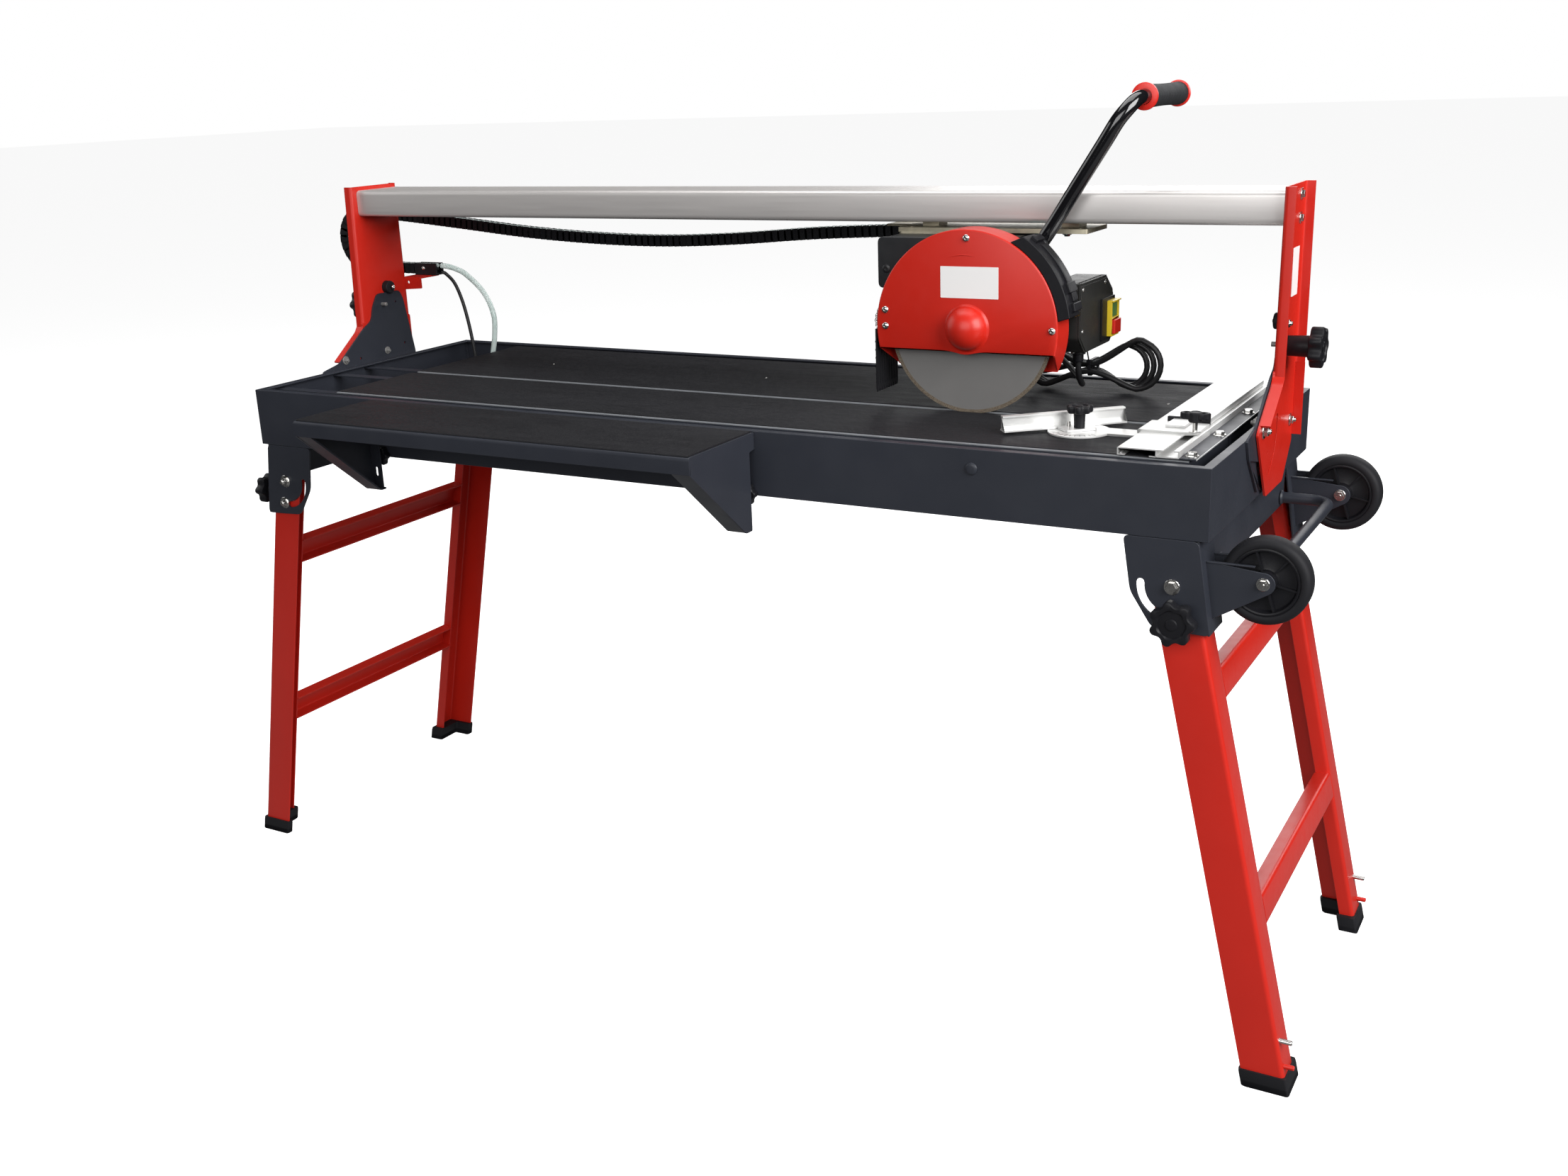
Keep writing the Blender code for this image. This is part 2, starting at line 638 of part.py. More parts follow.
def lathe_solid(name, profile, centre, axis, steps=24):
    """Turned solid whose profile starts and ends on the axis."""
    stack = None
    cage = bmesh.new()
    ring = [cage.verts.new((r, 0.0, h)) for r, h in profile]
    edges = [cage.edges.new(pair) for pair in zip(ring, ring[1:])]
    bmesh.ops.spin(cage, geom=ring + edges, cent=(0, 0, 0), axis=(0, 0, 1),
                   angle=2 * math.pi, steps=steps, use_duplicate=False)
    bmesh.ops.remove_doubles(cage, verts=cage.verts, dist=0.00001)
    bmesh.ops.recalc_face_normals(cage, faces=cage.faces)
    bmesh.ops.transform(cage, matrix=Matrix.Translation(Vector(centre)) @ height_along(axis),
                        verts=cage.verts)
    stack = bpy.data.meshes.new(name)
    cage.to_mesh(stack)
    cage.free()
    return bpy.data.objects.new(name, stack)


def height_along(axis):
    """Turns a profile's height axis to a world axis, pointing its positive way."""
    return {"x": Matrix(((0, 0, 1), (1, 0, 0), (0, 1, 0))),
            "y": Matrix(((0, 1, 0), (0, 0, 1), (1, 0, 0))),
            "z": Matrix.Identity(3)}[axis].to_4x4()


def make_head_mount():
    """Black head plate behind the guard, with a top flange under the carriage plate."""
    outline = [(0.233, 1.004), (0.227, 0.998), (0.227, 0.950), (0.235, 0.942), (0.300, 0.942),
               (0.318, 0.868), (0.345, 0.850), (0.440, 0.850), (0.470, 0.868), (0.478, 0.930),
               (0.462, 1.004)]
    mount = part(prism("head_mount", outline, "y", 0.2303, 0.2385), "carriage", PLASTIC)
    weld(mount, "carriage", box("mount_flange", (0.235, 0.2375, 0.9995), (0.415, 0.312, 1.004)),
         box("side_arm", (0.4628, 0.2375, 0.880), (0.4745, 0.2445, 0.945)))
    cut(mount, "carriage", rod("spindle_hole", (HEAD_X, 0, HEAD_Z), "y", 0.016, 0.22, 0.245, 20))


def make_motor():
    motor = part(rod("motor", (MOTOR_X, 0, MOTOR_Z), "y", MOTOR_R, 0.262, 0.438, 32),
                 "carriage", TEAL)
    soften(motor, 0.006, 2)
    weld(motor, "carriage",
         rod("spindle_boss", (HEAD_X, 0, HEAD_Z), "y", 0.026, 0.2390, 0.264, 20),
         box("motor_foot", (MOTOR_X - 0.03, 0.312, MOTOR_Z + 0.05), (MOTOR_X + 0.03, 0.36, 1.0055)))
    cut(motor, "carriage", rod("spindle_bore", (HEAD_X, 0, HEAD_Z), "y", 0.0130, 0.23, 0.256, 20))


def segment(radius, bottom, steps=28):
    """Disc outline cut off level at the bottom, as (x, z) points round the head's centre."""
    dip = math.degrees(math.asin((bottom - HEAD_Z) / radius))
    return arc((HEAD_X, HEAD_Z), radius, dip, 180 - dip, steps)


def make_guard():
    front, back = GUARD_Y
    guard = part(prism("blade_guard", segment(GUARD_R, GUARD_BOTTOM), "y", front, back),
                 "carriage", RED)
    dome = shape("guard_dome", lambda cage: (
        bmesh.ops.create_uvsphere(cage, u_segments=16, v_segments=10, radius=0.029),
        bmesh.ops.translate(cage, vec=(HEAD_X, front + 0.002, HEAD_Z + 0.001), verts=cage.verts)))
    skirt = prism("guard_skirt", segment(GUARD_R - 0.0004, SKIRT_BOTTOM), "y",
                  back - GUARD_WALL + 0.0002, back - 0.0002)
    weld(guard, "carriage", dome, skirt)
    hollow = arc((HEAD_X, HEAD_Z), GUARD_R - GUARD_WALL, -12, 192, 28)
    hollow += [(HEAD_X - 0.124, 0.78), (HEAD_X + 0.124, 0.78)]
    cut(guard, "carriage",
        prism("guard_hollow", hollow, "y", front + GUARD_WALL, back - GUARD_WALL),
        rod("guard_hole", (HEAD_X, 0, HEAD_Z), "y", 0.0165, back - 0.01, back + 0.01, 20))


def make_water_cover():
    """Black crescent that covers the guard's rim on the operator's side."""
    outline = arc((HEAD_X, HEAD_Z), GUARD_R + GAP, 60, 7, 12)
    outline += arc((HEAD_X + 0.003, HEAD_Z + 0.001), GUARD_R + 0.014, 9, 57, 12)
    part(prism("water_cover", outline, "y", 0.1895, 0.2299), "carriage", PLASTIC)


def make_splash_flap():
    part(box("splash_flap", (0.2365, 0.190, 0.8012), (0.2400, 0.255, 0.887)), "carriage", RUBBER)


def make_switch():
    far = SWITCH_Y[1]
    near, low, high = SWITCH_Y[0], *SWITCH_Z
    profile = [(near, low + 0.021), (near + 0.022, low), (far - 0.009, low), (far, low + 0.009),
               (far, high - 0.023), (far - 0.030, high), (near, high)]
    part(prism("switch_box", profile, "x", *SWITCH_X), "carriage", PLASTIC)
    face = SWITCH_X[1] + GAP
    plate = part(box("switch_plate", (face, 0.3240, 0.861), (face + 0.0025, 0.3765, 0.917)),
                 "carriage", YELLOW)
    weld(plate, "carriage", box("switch_rim", (face + 0.001, 0.3445, 0.8645),
                                (face + 0.009, 0.3760, 0.9125)))
    for name, low, high in (("start", 0.8897, 0.9093), ("stop", 0.8677, 0.8873)):
        cut(plate, "carriage", box(name + "_well", (face + 0.0015, BUTTON_Y - 0.0133, low),
                                   (face + 0.02, BUTTON_Y + 0.0133, high)))
    for name, middle, proud, mat in (("start_button", 0.8995, 0.007, GREEN),
                                     ("stop_button", 0.8775, 0.013, STOP_RED)):
        part(box(name, (face + 0.0015 + BUTTON_TRAVEL + GAP, BUTTON_Y - 0.0130, middle - 0.0095),
                 (face + proud, BUTTON_Y + 0.0130, middle + 0.0095)), name, mat)
    part(rod("lead_gland", (0.484, 0.300, 0), "z", 0.0065, 0.8375, SWITCH_Z[0] - GAP, 16, 0.010),
         "carriage", PLASTIC)


def make_handle():
    y = 0.2485
    route = [(0.424, y, 0.972), (0.434, y, 0.979), (0.446, y, 0.993), (0.463, y, 1.017),
             (0.496, y, 1.068), (0.531, y, 1.122), (0.546, y + 0.001, 1.146),
             (0.556, y + 0.007, 1.160), (0.563, y + 0.018, 1.170), (GRIP_X, y + 0.036, GRIP_Z),
             (GRIP_X, 0.310, GRIP_Z), (GRIP_X, 0.438, GRIP_Z)]
    bar = part(tube("handle_tube", smooth_route(route, 0.013), HANDLE_R, 3), "carriage", GLOSS)
    bar.data.name = "handle_tube"
    hole = HANDLE_R + GAP
    sleeve = [(0.0170, 0.437), (0.0170, 0.433), (0.0125, 0.433), (0.0125, 0.293),
              (0.0170, 0.293), (0.0170, 0.288), (hole, 0.288), (hole, 0.437)]
    part(turned("grip_sleeve", sleeve, (GRIP_X, 0, GRIP_Z), "y"), "carriage", STOP_RED)
    cover = [(0.0146, 0.4325), (0.0138, 0.363), (0.0146, 0.2935), (0.0128, 0.2935),
             (0.0128, 0.4325)]
    part(turned("grip_cover", cover, (GRIP_X, 0, GRIP_Z), "y"), "carriage", RUBBER)


def make_blade():
    core, rim, bore = 0.0010, BLADE_THICK / 2, 0.0127
    disc = [(BLADE_R, rim), (BLADE_R, -rim), (BLADE_R - 0.005, -rim), (BLADE_R - 0.005, -core),
            (bore, -core), (bore, core), (BLADE_R - 0.005, core), (BLADE_R - 0.005, rim)]
    part(turned("blade", disc, (HEAD_X, BLADE_Y, HEAD_Z), "y", 40), "blade", STEEL)
    start, clamp = BLADE_Y + core + GAP, 0.0225
    arbor = [(0.0, 0.255), (0.0122, 0.255), (0.0122, start + 0.004), (clamp, start + 0.004),
             (clamp, start), (0.0122, start), (0.0122, 0.197), (0.0, 0.197)]
    part(lathe_solid("arbor", arbor, (HEAD_X, 0, HEAD_Z), "y", 24), "blade", STEEL)


def make_mains_lead():
    """Mains lead from the switch box: one tied hank on the table, with the plug behind it."""
    route = [(0.484, 0.300, 0.8368), (0.484, 0.3003, 0.8270), (0.4835, 0.3070, 0.8155),
             (0.4815, 0.3170, 0.8065), (0.4780, 0.3310, 0.8010), (0.4740, 0.3480, 0.7990),
             (0.4710, 0.3620, 0.7985), (0.4700, 0.3792, 0.7985)]
    part(tube("mains_lead", smooth_route(route, 0.012), CORD_R, 2), "carriage", PLASTIC)
    radius = (HANK_Z[1] - HANK_Z[0]) / 2
    level = HANK_Z[0] + radius
    outline = (arc((HANK_X[1] - radius, level), radius, -90, 90, 8)
               + arc((HANK_X[0] + radius, level), radius, 90, 270, 8))
    part(prism("lead_hank", outline, "y", *HANK_Y), "carriage", PLASTIC)
    plug = [(0.0, 0.3445), (0.0050, 0.3445), (0.0070, 0.322), (0.0170, 0.316), (0.0185, 0.308),
            (0.0185, 0.284), (0.0, 0.284)]
    plug_solid = lathe_solid("lead_plug", plug, (0, 0.392, 0.8000), "x", 20)
    part(plug_solid, "carriage", PLASTIC)


# ---------------------------------------------------------------- legs and wheels

def make_legs():
    for side, name in ((-1, "left"), (1, "right")):
        make_leg_frame(side, name)


def make_leg_frame(side, name):
    """Two folded legs and two cross bars, welded into one frame that splays outwards."""
    owner = name + "_legs"
    half, reach = LEG_WIDTH / 2, LEG_PIVOT_Z / math.cos(LEG_SPLAY) + 0.03
    tall = CROSSBAR_TALL / 2
    lean = (Matrix.Translation((side * LEG_PIVOT_X, 0, LEG_PIVOT_Z))
            @ Matrix.Rotation(-side * LEG_SPLAY, 4, "Y"))
    frame = None
    near, far = LEG_FACES[0] + 0.0034, LEG_FACES[1] - 0.0034
    for number, (wall, turn) in enumerate(((near, 1), (far, -1))):
        def at(x, y, wall=wall, turn=turn):
            return (side * x, wall + turn * y)
        outline = [at(-half, 0), at(half, 0), at(half, LEG_SIDE), at(half - LEG_RETURN, LEG_SIDE),
                   at(half - LEG_RETURN, LEG_SIDE - SHEET), at(half - SHEET, LEG_SIDE - SHEET),
                   at(half - SHEET, SHEET), at(-half, SHEET)]
        leg = prism("%s_leg_%d" % (name, number), outline, "z", -reach, LEG_ABOVE)
        leg.matrix_basis = lean @ leg.matrix_basis
        if frame is None:
            leg.name = name + "_leg_frame"
            frame = part(leg, owner, RED)
        else:
            weld(frame, owner, leg)
    for number, height in enumerate(CROSSBAR_Z):
        drop = (LEG_PIVOT_Z - height) / math.cos(LEG_SPLAY)
        low, high = ordered((side * (half - 0.022), near + LEG_SIDE - 0.001, -drop - tall),
                            (side * (half - 0.0005), far - LEG_SIDE + 0.001, -drop + tall))
        bar = box("%s_bar_%d" % (name, number), low, high)
        bar.matrix_basis = lean
        weld(frame, owner, bar)
    floor = box(name + "_floor_cut", (side * 0.85 - 0.2, -0.1, -0.2),
                (side * 0.85 + 0.2, 0.7, FOOT_HEIGHT + GAP))
    cut(frame, owner, floor)
    middle = LEG_PIVOT_X + LEG_PIVOT_Z * math.tan(LEG_SPLAY)
    for front, label in ((True, "front"), (False, "rear")):
        wall, turn = (near - 0.003, 1) if front else (far + 0.003, -1)
        outline = [(-0.0295, 0), (0.0295, 0), (0.0295, 0.056), (0.003, 0.056), (0.003, 0.010),
                   (-0.0295, 0.010)]
        outline = [(side * (middle + x), wall + turn * y) for x, y in outline]
        part(prism("%s_%s_foot" % (name, label), outline, "z", 0, FOOT_HEIGHT), owner, RUBBER)


def make_wheels():
    half = WHEEL_WIDE / 2
    hub = half - 0.003
    profile = [(WHEEL_R - 0.004, half), (WHEEL_R, half - 0.005), (WHEEL_R, 0.005 - half),
               (WHEEL_R - 0.004, -half), (WHEEL_R - 0.014, -half), (WHEEL_R - 0.016, -hub + 0.004),
               (0.014, -hub + 0.004), (0.012, -half), (AXLE_R + 0.0006, -half),
               (AXLE_R + 0.0006, half), (0.012, half), (0.014, hub - 0.004),
               (WHEEL_R - 0.016, hub - 0.004), (WHEEL_R - 0.014, half)]
    for place, name in zip(WHEEL_Y, ("front_wheel", "rear_wheel")):
        part(turned(name, profile, (WHEEL_X, place, WHEEL_Z), "y"), name, PLASTIC)


def make_leg_knobs():
    star_knob("left_leg_knob", (0, 0.030, 0.612), "x", 0.024, (-0.786, -0.770),
              (-0.772, -0.7525), 0.009)
    x, _, z = lock_point(1)
    star_knob("right_leg_knob", (x, 0, z), "y", 0.0275, (-0.028, -0.012), (-0.014, -GAP), 0.011)


# ---------------------------------------------------------------- side table and angle stop

def make_side_table():
    """Folded extension table hooked on the tray's front, on two triangular gussets."""
    (x0, x1), back = SIDE_X, -0.0006
    table = part(box("side_table", (x0, SIDE_FRONT, SIDE_TOP - SIDE_LIP), (x1, back, SIDE_TOP)),
                 "side_table", GREY)
    cut(table, "side_table", box("side_hollow", (x0 + SHEET, SIDE_FRONT + SHEET, SIDE_TOP - 0.05),
                                 (x1 - SHEET, back - SHEET, SIDE_TOP - SHEET)))
    low = GUSSET_LOW
    for number, (outer, inward) in enumerate(((x0, 1), (x1, -1))):
        face = outer + inward * 0.0005
        gusset = [(-0.140, SIDE_TOP - 0.020), (-0.0145, SIDE_TOP - 0.020), (-0.0145, low),
                  (-0.030, low)]
        slope = [(-0.140, SIDE_TOP - 0.020), (-0.030, low), (-0.0145, low),
                 (-0.0145, low + SHEET), (-0.0288, low + SHEET), (-0.1365, SIDE_TOP - 0.0195)]
        weld(table, "side_table",
             prism("gusset_%d" % number, gusset, "x", *sorted((face, face + inward * SHEET))),
             prism("gusset_flange_%d" % number, slope, "x",
                   *sorted((face + inward * 0.0005, face + inward * 0.028))),
             box("gusset_back_%d" % number,
                 *ordered((face + inward * 0.0005, -0.0170, low + 0.0004),
                          (face + inward * 0.020, -0.0147, SIDE_TOP - 0.019))))
    part(box("side_table_mat", (x0 + 0.003, SIDE_FRONT + 0.003, SIDE_TOP + GAP),
             (x1 - 0.003, -0.004, SIDE_TOP + 0.002)), "side_table", RUBBER)
    for place, name in zip(side_knob_x(), ("left_side_knob", "right_side_knob")):
        star_knob(name, (place, 0, 0.697), "y", 0.0150, (-0.0110, -0.0010), (-0.0143, -0.0100),
                  0.006)


def make_angle_stop():
    """Block that slides on the end rail, with the arm that carries the mitre fence."""
    top = RAIL_Z[1] + GAP
    block = part(box("stop_block", (0.624, STOP_Y[0], top), (0.697, STOP_Y[1], top + 0.003)),
                 "angle_stop", ZINC)
    arm = TABLE_TOP + GAP
    weld(block, "angle_stop",
         box("stop_drop", (0.624, 0.120, arm), (0.627, 0.152, top + 0.002)),
         box("stop_arm", (ANGLE_X - 0.010, 0.120, arm), (0.6260, 0.152, arm + 0.003)),
         rod("stop_disc", (ANGLE_X, ANGLE_Y, 0), "z", 0.039, arm, arm + 0.0029, 32))
    bar = part(box("stop_bar", (0.6440, 0.1745, top), (0.6960, 0.4460, top + 0.008)),
               "angle_stop", ALUMINIUM)
    weld(bar, "angle_stop", box("bar_tongue", (0.652, 0.136, top + 0.0033),
                                (0.676, 0.180, top + 0.0063)))
    knob = part(box("stop_knob", (STOP_KNOB[0] - 0.0175, STOP_KNOB[1] - 0.0050, top + 0.0185),
                    (STOP_KNOB[0] + 0.0175, STOP_KNOB[1] + 0.0050, top + 0.0265)),
                "stop_knob", PLASTIC)
    weld(knob, "stop_knob",
         rod("stop_hub", (*STOP_KNOB, 0), "z", 0.0083, top + 0.0150, top + 0.0275, 20),
         rod("stop_stud", (*STOP_KNOB, 0), "z", 0.0030, top + 0.0033, top + 0.0160, 16))


def make_angle_fence():
    """Aluminium angle bar on a small plate that turns on the arm's disc."""
    low = TABLE_TOP + GAP + 0.003 + GAP
    turn = Matrix.Translation((ANGLE_X, ANGLE_Y, 0)) @ Matrix.Rotation(ANGLE_TURN, 4, "Z")
    bar = box("angle_fence", (-0.0915, 0.0262, low), (0.0700, 0.0287, low + 0.019))
    bar.matrix_basis = turn
    fence = part(bar, "angle_fence", ALUMINIUM)
    foot = box("fence_foot", (-0.0910, 0.0150, low), (0.0695, 0.0275, low + 0.0025))
    foot.matrix_basis = turn
    plate = box("fence_plate", (-0.020, -0.010, low), (0.020, 0.0160, low + 0.0025))
    plate.matrix_basis = turn
    weld(fence, "angle_fence", foot, plate)
    cut(fence, "angle_fence", rod("fence_hole", (ANGLE_X, ANGLE_Y, 0), "z", 0.0035, low - 0.01,
                                  low + 0.01, 12))
    star_knob("angle_knob", (ANGLE_X, ANGLE_Y, 0), "z", 0.0165, (low + 0.021, low + 0.031),
              (low + 0.0028, low + 0.022), 0.0070)


def main():
    make_bodies()
    make_tray()
    make_panels()
    make_pivot_plates()
    make_leg_mounts()
    make_carry_handle()
    make_pump()
    make_end_rail()
    make_columns()
    make_beam()
    make_drag_chain()
    make_hoses()
    make_tilt_knobs()
    make_carriage()
    make_rollers()
    make_head_mount()
    make_motor()
    make_guard()
    make_water_cover()
    make_splash_flap()
    make_switch()
    make_handle()
    make_blade()
    make_mains_lead()
    make_legs()
    make_wheels()
    make_leg_knobs()
    make_side_table()
    make_angle_stop()
    make_angle_fence()
    bpy.context.view_layer.update()


main()
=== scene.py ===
"""Looks of the wet tile saw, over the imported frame.

Places are written in the saw's own drawing frame, in metres: x from the middle of the water
tray, y from the tray's front wall, z from the floor. HOME carries them into the row frame.
"""
import json
import math

import bmesh
import bpy
from mathutils import Matrix, Vector

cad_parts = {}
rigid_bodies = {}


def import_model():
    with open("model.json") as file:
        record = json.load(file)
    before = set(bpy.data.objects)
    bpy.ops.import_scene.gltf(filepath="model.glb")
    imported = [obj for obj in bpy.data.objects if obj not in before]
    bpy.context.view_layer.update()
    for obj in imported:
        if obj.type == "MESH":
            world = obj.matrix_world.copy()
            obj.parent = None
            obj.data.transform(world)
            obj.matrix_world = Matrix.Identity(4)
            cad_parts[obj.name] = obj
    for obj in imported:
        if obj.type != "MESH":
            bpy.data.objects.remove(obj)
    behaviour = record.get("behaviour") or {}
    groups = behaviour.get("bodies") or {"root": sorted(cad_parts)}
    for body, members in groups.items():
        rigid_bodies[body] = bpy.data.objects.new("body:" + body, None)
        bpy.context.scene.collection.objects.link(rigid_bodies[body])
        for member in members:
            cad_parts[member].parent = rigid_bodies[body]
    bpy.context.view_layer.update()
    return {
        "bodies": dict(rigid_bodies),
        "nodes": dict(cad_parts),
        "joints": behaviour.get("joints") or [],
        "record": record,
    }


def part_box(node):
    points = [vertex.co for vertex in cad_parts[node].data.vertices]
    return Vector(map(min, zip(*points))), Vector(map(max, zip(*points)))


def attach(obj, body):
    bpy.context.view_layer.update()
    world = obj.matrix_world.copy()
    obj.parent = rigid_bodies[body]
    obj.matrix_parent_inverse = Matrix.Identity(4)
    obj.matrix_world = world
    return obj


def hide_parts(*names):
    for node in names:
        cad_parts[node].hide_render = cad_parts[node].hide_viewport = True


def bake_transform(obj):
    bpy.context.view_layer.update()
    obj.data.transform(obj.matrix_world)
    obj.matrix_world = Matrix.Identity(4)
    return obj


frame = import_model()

TRAY_LOW, TRAY_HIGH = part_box("water_tray")
HOME = Vector(((TRAY_LOW[0] + TRAY_HIGH[0]) / 2, TRAY_LOW[1], 0.0))

TABLE = 0.7806
BLADE = (0.368, 0.208, 0.8926)
LEG_PIVOT = (0.706, 0.637)
SPLAY = math.radians(12.35)
CAMERA_TURN = (29.94, 17.73, -2.22)          # yaw, pitch and roll
CAMERA_LENS = 36.71
CAMERA_PLACE = Vector((1.1926, -1.7403, 1.2140))
BEAM_TOP = 1.0593
MAT_REST = 0.7890                            # centre line of a lead lying on the mats


# ---------------------------------------------------------------- camera, light and floor

def set_camera():
    """The photograph's viewpoint, in degrees, millimetres of lens and metres of place."""
    yaw, pitch, roll = (math.radians(angle) for angle in CAMERA_TURN)
    ahead = Vector((-math.sin(yaw) * math.cos(pitch), math.cos(yaw) * math.cos(pitch),
                    -math.sin(pitch)))
    level = Vector((math.cos(yaw), math.sin(yaw), 0.0))
    rise = level.cross(ahead)
    right = level * math.cos(roll) + rise * math.sin(roll)
    up = rise * math.cos(roll) - level * math.sin(roll)
    lens = bpy.data.cameras.new("camera")
    lens.lens = CAMERA_LENS
    lens.sensor_width = 36.0
    lens.clip_end = 200.0
    camera = bpy.data.objects.new("camera", lens)
    turn = Matrix((right, up, -ahead)).transposed().to_4x4()
    camera.matrix_world = Matrix.Translation(HOME + CAMERA_PLACE) @ turn
    bpy.context.scene.collection.objects.link(camera)
    bpy.context.scene.camera = camera


def area_light(name, place, target, size, power, colour=(1, 1, 1)):
    data = bpy.data.lights.new(name, "AREA")
    data.shape = "RECTANGLE"
    data.size, data.size_y = size
    data.energy = power
    data.color = colour
    light = bpy.data.objects.new(name, data)
    light.location = HOME + Vector(place)
    light.rotation_euler = (Vector(target) - Vector(place)).to_track_quat("-Z", "Y").to_euler()
    bpy.context.scene.collection.objects.link(light)


def set_studio():
    """White surround that only the camera sees; the light comes from large soft boxes."""
    world = bpy.data.worlds.new("studio")
    world.use_nodes = True
    world.node_tree.nodes["Background"].inputs["Color"].default_value = (1.0, 1.0, 1.0, 1)
    world.node_tree.nodes["Background"].inputs["Strength"].default_value = 1.0
    world.cycles_visibility.diffuse = False
    world.cycles_visibility.glossy = False
    bpy.context.scene.world = world
    bpy.context.scene.view_settings.view_transform = "Standard"
    area_light("key", (3.3, -0.9, 2.3), (0.1, 0.2, 0.6), (2.6, 2.4), 190)
    area_light("front", (0.6, -3.6, 2.1), (0.0, 0.2, 0.6), (3.2, 2.2), 85)
    area_light("top", (0.0, 0.5, 3.3), (0.0, 0.2, 0.7), (3.0, 2.2), 62)
    area_light("left", (-3.4, -0.4, 1.9), (0.0, 0.2, 0.6), (2.4, 2.2), 26)
    area_light("back", (0.2, 4.0, 2.2), (0.0, 0.2, 0.7), (3.4, 2.0), 60)
    area_light("bounce", (0.0, 0.2, 0.004), (0.0, 0.2, 1.0), (5.0, 4.0), 16)
    bpy.data.objects["bounce"].visible_camera = False
    cage = bmesh.new()
    bmesh.ops.create_grid(cage, x_segments=8, y_segments=8, size=45.0)
    mesh = bpy.data.meshes.new("floor")
    cage.to_mesh(mesh)
    cage.free()
    floor = bpy.data.objects.new("floor", mesh)
    floor.location = (0, 0, -0.0005)
    floor.visible_diffuse = False
    floor.visible_glossy = False
    bpy.context.scene.collection.objects.link(floor)
    pale = bpy.data.materials.new("pale_floor")
    pale.use_nodes = True
    shader = pale.node_tree.nodes["Principled BSDF"]
    shader.inputs["Base Color"].default_value = (0.80, 0.80, 0.80, 1)
    shader.inputs["Roughness"].default_value = 0.9
    shader.inputs["Specular IOR Level"].default_value = 0.0
    shader.inputs["Emission Color"].default_value = (1.0, 1.0, 1.0, 1)
    shader.inputs["Emission Strength"].default_value = 0.94
    mesh.materials.append(pale)


# ---------------------------------------------------------------- materials

def shader_of(name, **fixed):
    mat = bpy.data.materials.new(name)
    mat.use_nodes = True
    shader = mat.node_tree.nodes["Principled BSDF"]
    for key, value in fixed.items():
        label = {"base": "Base Color", "rough": "Roughness", "metal": "Metallic",
                 "coat": "Coat Weight", "coat_rough": "Coat Roughness", "ior": "IOR",
                 "glass": "Transmission Weight", "shine": "Specular IOR Level"}[key]
        shader.inputs[label].default_value = (*value, 1) if key == "base" else value
    return mat, mat.node_tree, shader


def grain(tree, scale, detail=3.0, stretch=(1, 1, 1), rough=0.55, shift=(0, 0, 0)):
    """Noise in the object's own space; a small stretch number draws it out along that axis."""
    place = tree.nodes.new("ShaderNodeTexCoord")
    mapping = tree.nodes.new("ShaderNodeMapping")
    mapping.inputs["Scale"].default_value = stretch
    mapping.inputs["Location"].default_value = shift
    noise = tree.nodes.new("ShaderNodeTexNoise")
    noise.inputs["Scale"].default_value = scale
    noise.inputs["Detail"].default_value = detail
    noise.inputs["Roughness"].default_value = rough
    tree.links.new(place.outputs["Object"], mapping.inputs["Vector"])
    tree.links.new(mapping.outputs["Vector"], noise.inputs["Vector"])
    return noise.outputs["Fac"]


def ramp(tree, source, low, high, first=0.3, last=0.7):
    node = tree.nodes.new("ShaderNodeValToRGB")
    node.color_ramp.elements[0].position = first
    node.color_ramp.elements[1].position = last
    node.color_ramp.elements[0].color = (*low, 1)
    node.color_ramp.elements[1].color = (*high, 1)
    tree.links.new(source, node.inputs["Fac"])
    return node.outputs["Color"]


def spread(tree, source, low, high, first=0.25, last=0.75):
    node = tree.nodes.new("ShaderNodeMapRange")
    node.inputs["From Min"].default_value = first
    node.inputs["From Max"].default_value = last
    node.inputs["To Min"].default_value = low
    node.inputs["To Max"].default_value = high
    tree.links.new(source, node.inputs["Value"])
    return node.outputs["Result"]


def bump(tree, shader, source, depth, strength=1.0):
    node = tree.nodes.new("ShaderNodeBump")
    node.inputs["Strength"].default_value = strength
    node.inputs["Distance"].default_value = depth
    tree.links.new(source, node.inputs["Height"])
    tree.links.new(node.outputs["Normal"], shader.inputs["Normal"])


def shade(colour, by):
    return tuple(min(1.0, c * by) for c in colour)


def surface(name, colour, rough, metal=0.0, vary=0.06, patch=6.0, fine=900.0, depth=0.00006,
            stretch=(1, 1, 1), rough_vary=0.05, **extra):
    """General finish: slow colour patches, uneven roughness and a fine raised texture."""
    mat, tree, shader = shader_of(name, metal=metal, **extra)
    slow = grain(tree, patch, 4.0, stretch)
    tree.links.new(ramp(tree, slow, shade(colour, 1 - vary), shade(colour, 1 + vary)),
                   shader.inputs["Base Color"])
    mid = grain(tree, patch * 9, 3.0, stretch, shift=(3.1, 1.7, 0.4))
    tree.links.new(spread(tree, mid, rough - rough_vary, rough + rough_vary),
                   shader.inputs["Roughness"])
    bump(tree, shader, grain(tree, fine, 2.0, stretch), depth, 0.8)
    return mat


def speckled(name, colour, chip, rough, metal, scale):
    """Sintered rim: coarse bright and dark grit in a bronze-coloured bond."""
    mat, tree, shader = shader_of(name, rough=rough, metal=metal)
    grit = grain(tree, scale, 2.0)
    tree.links.new(ramp(tree, grit, colour, chip, 0.42, 0.62), shader.inputs["Base Color"])
    bump(tree, shader, grit, 0.0002, 0.8)
    return mat


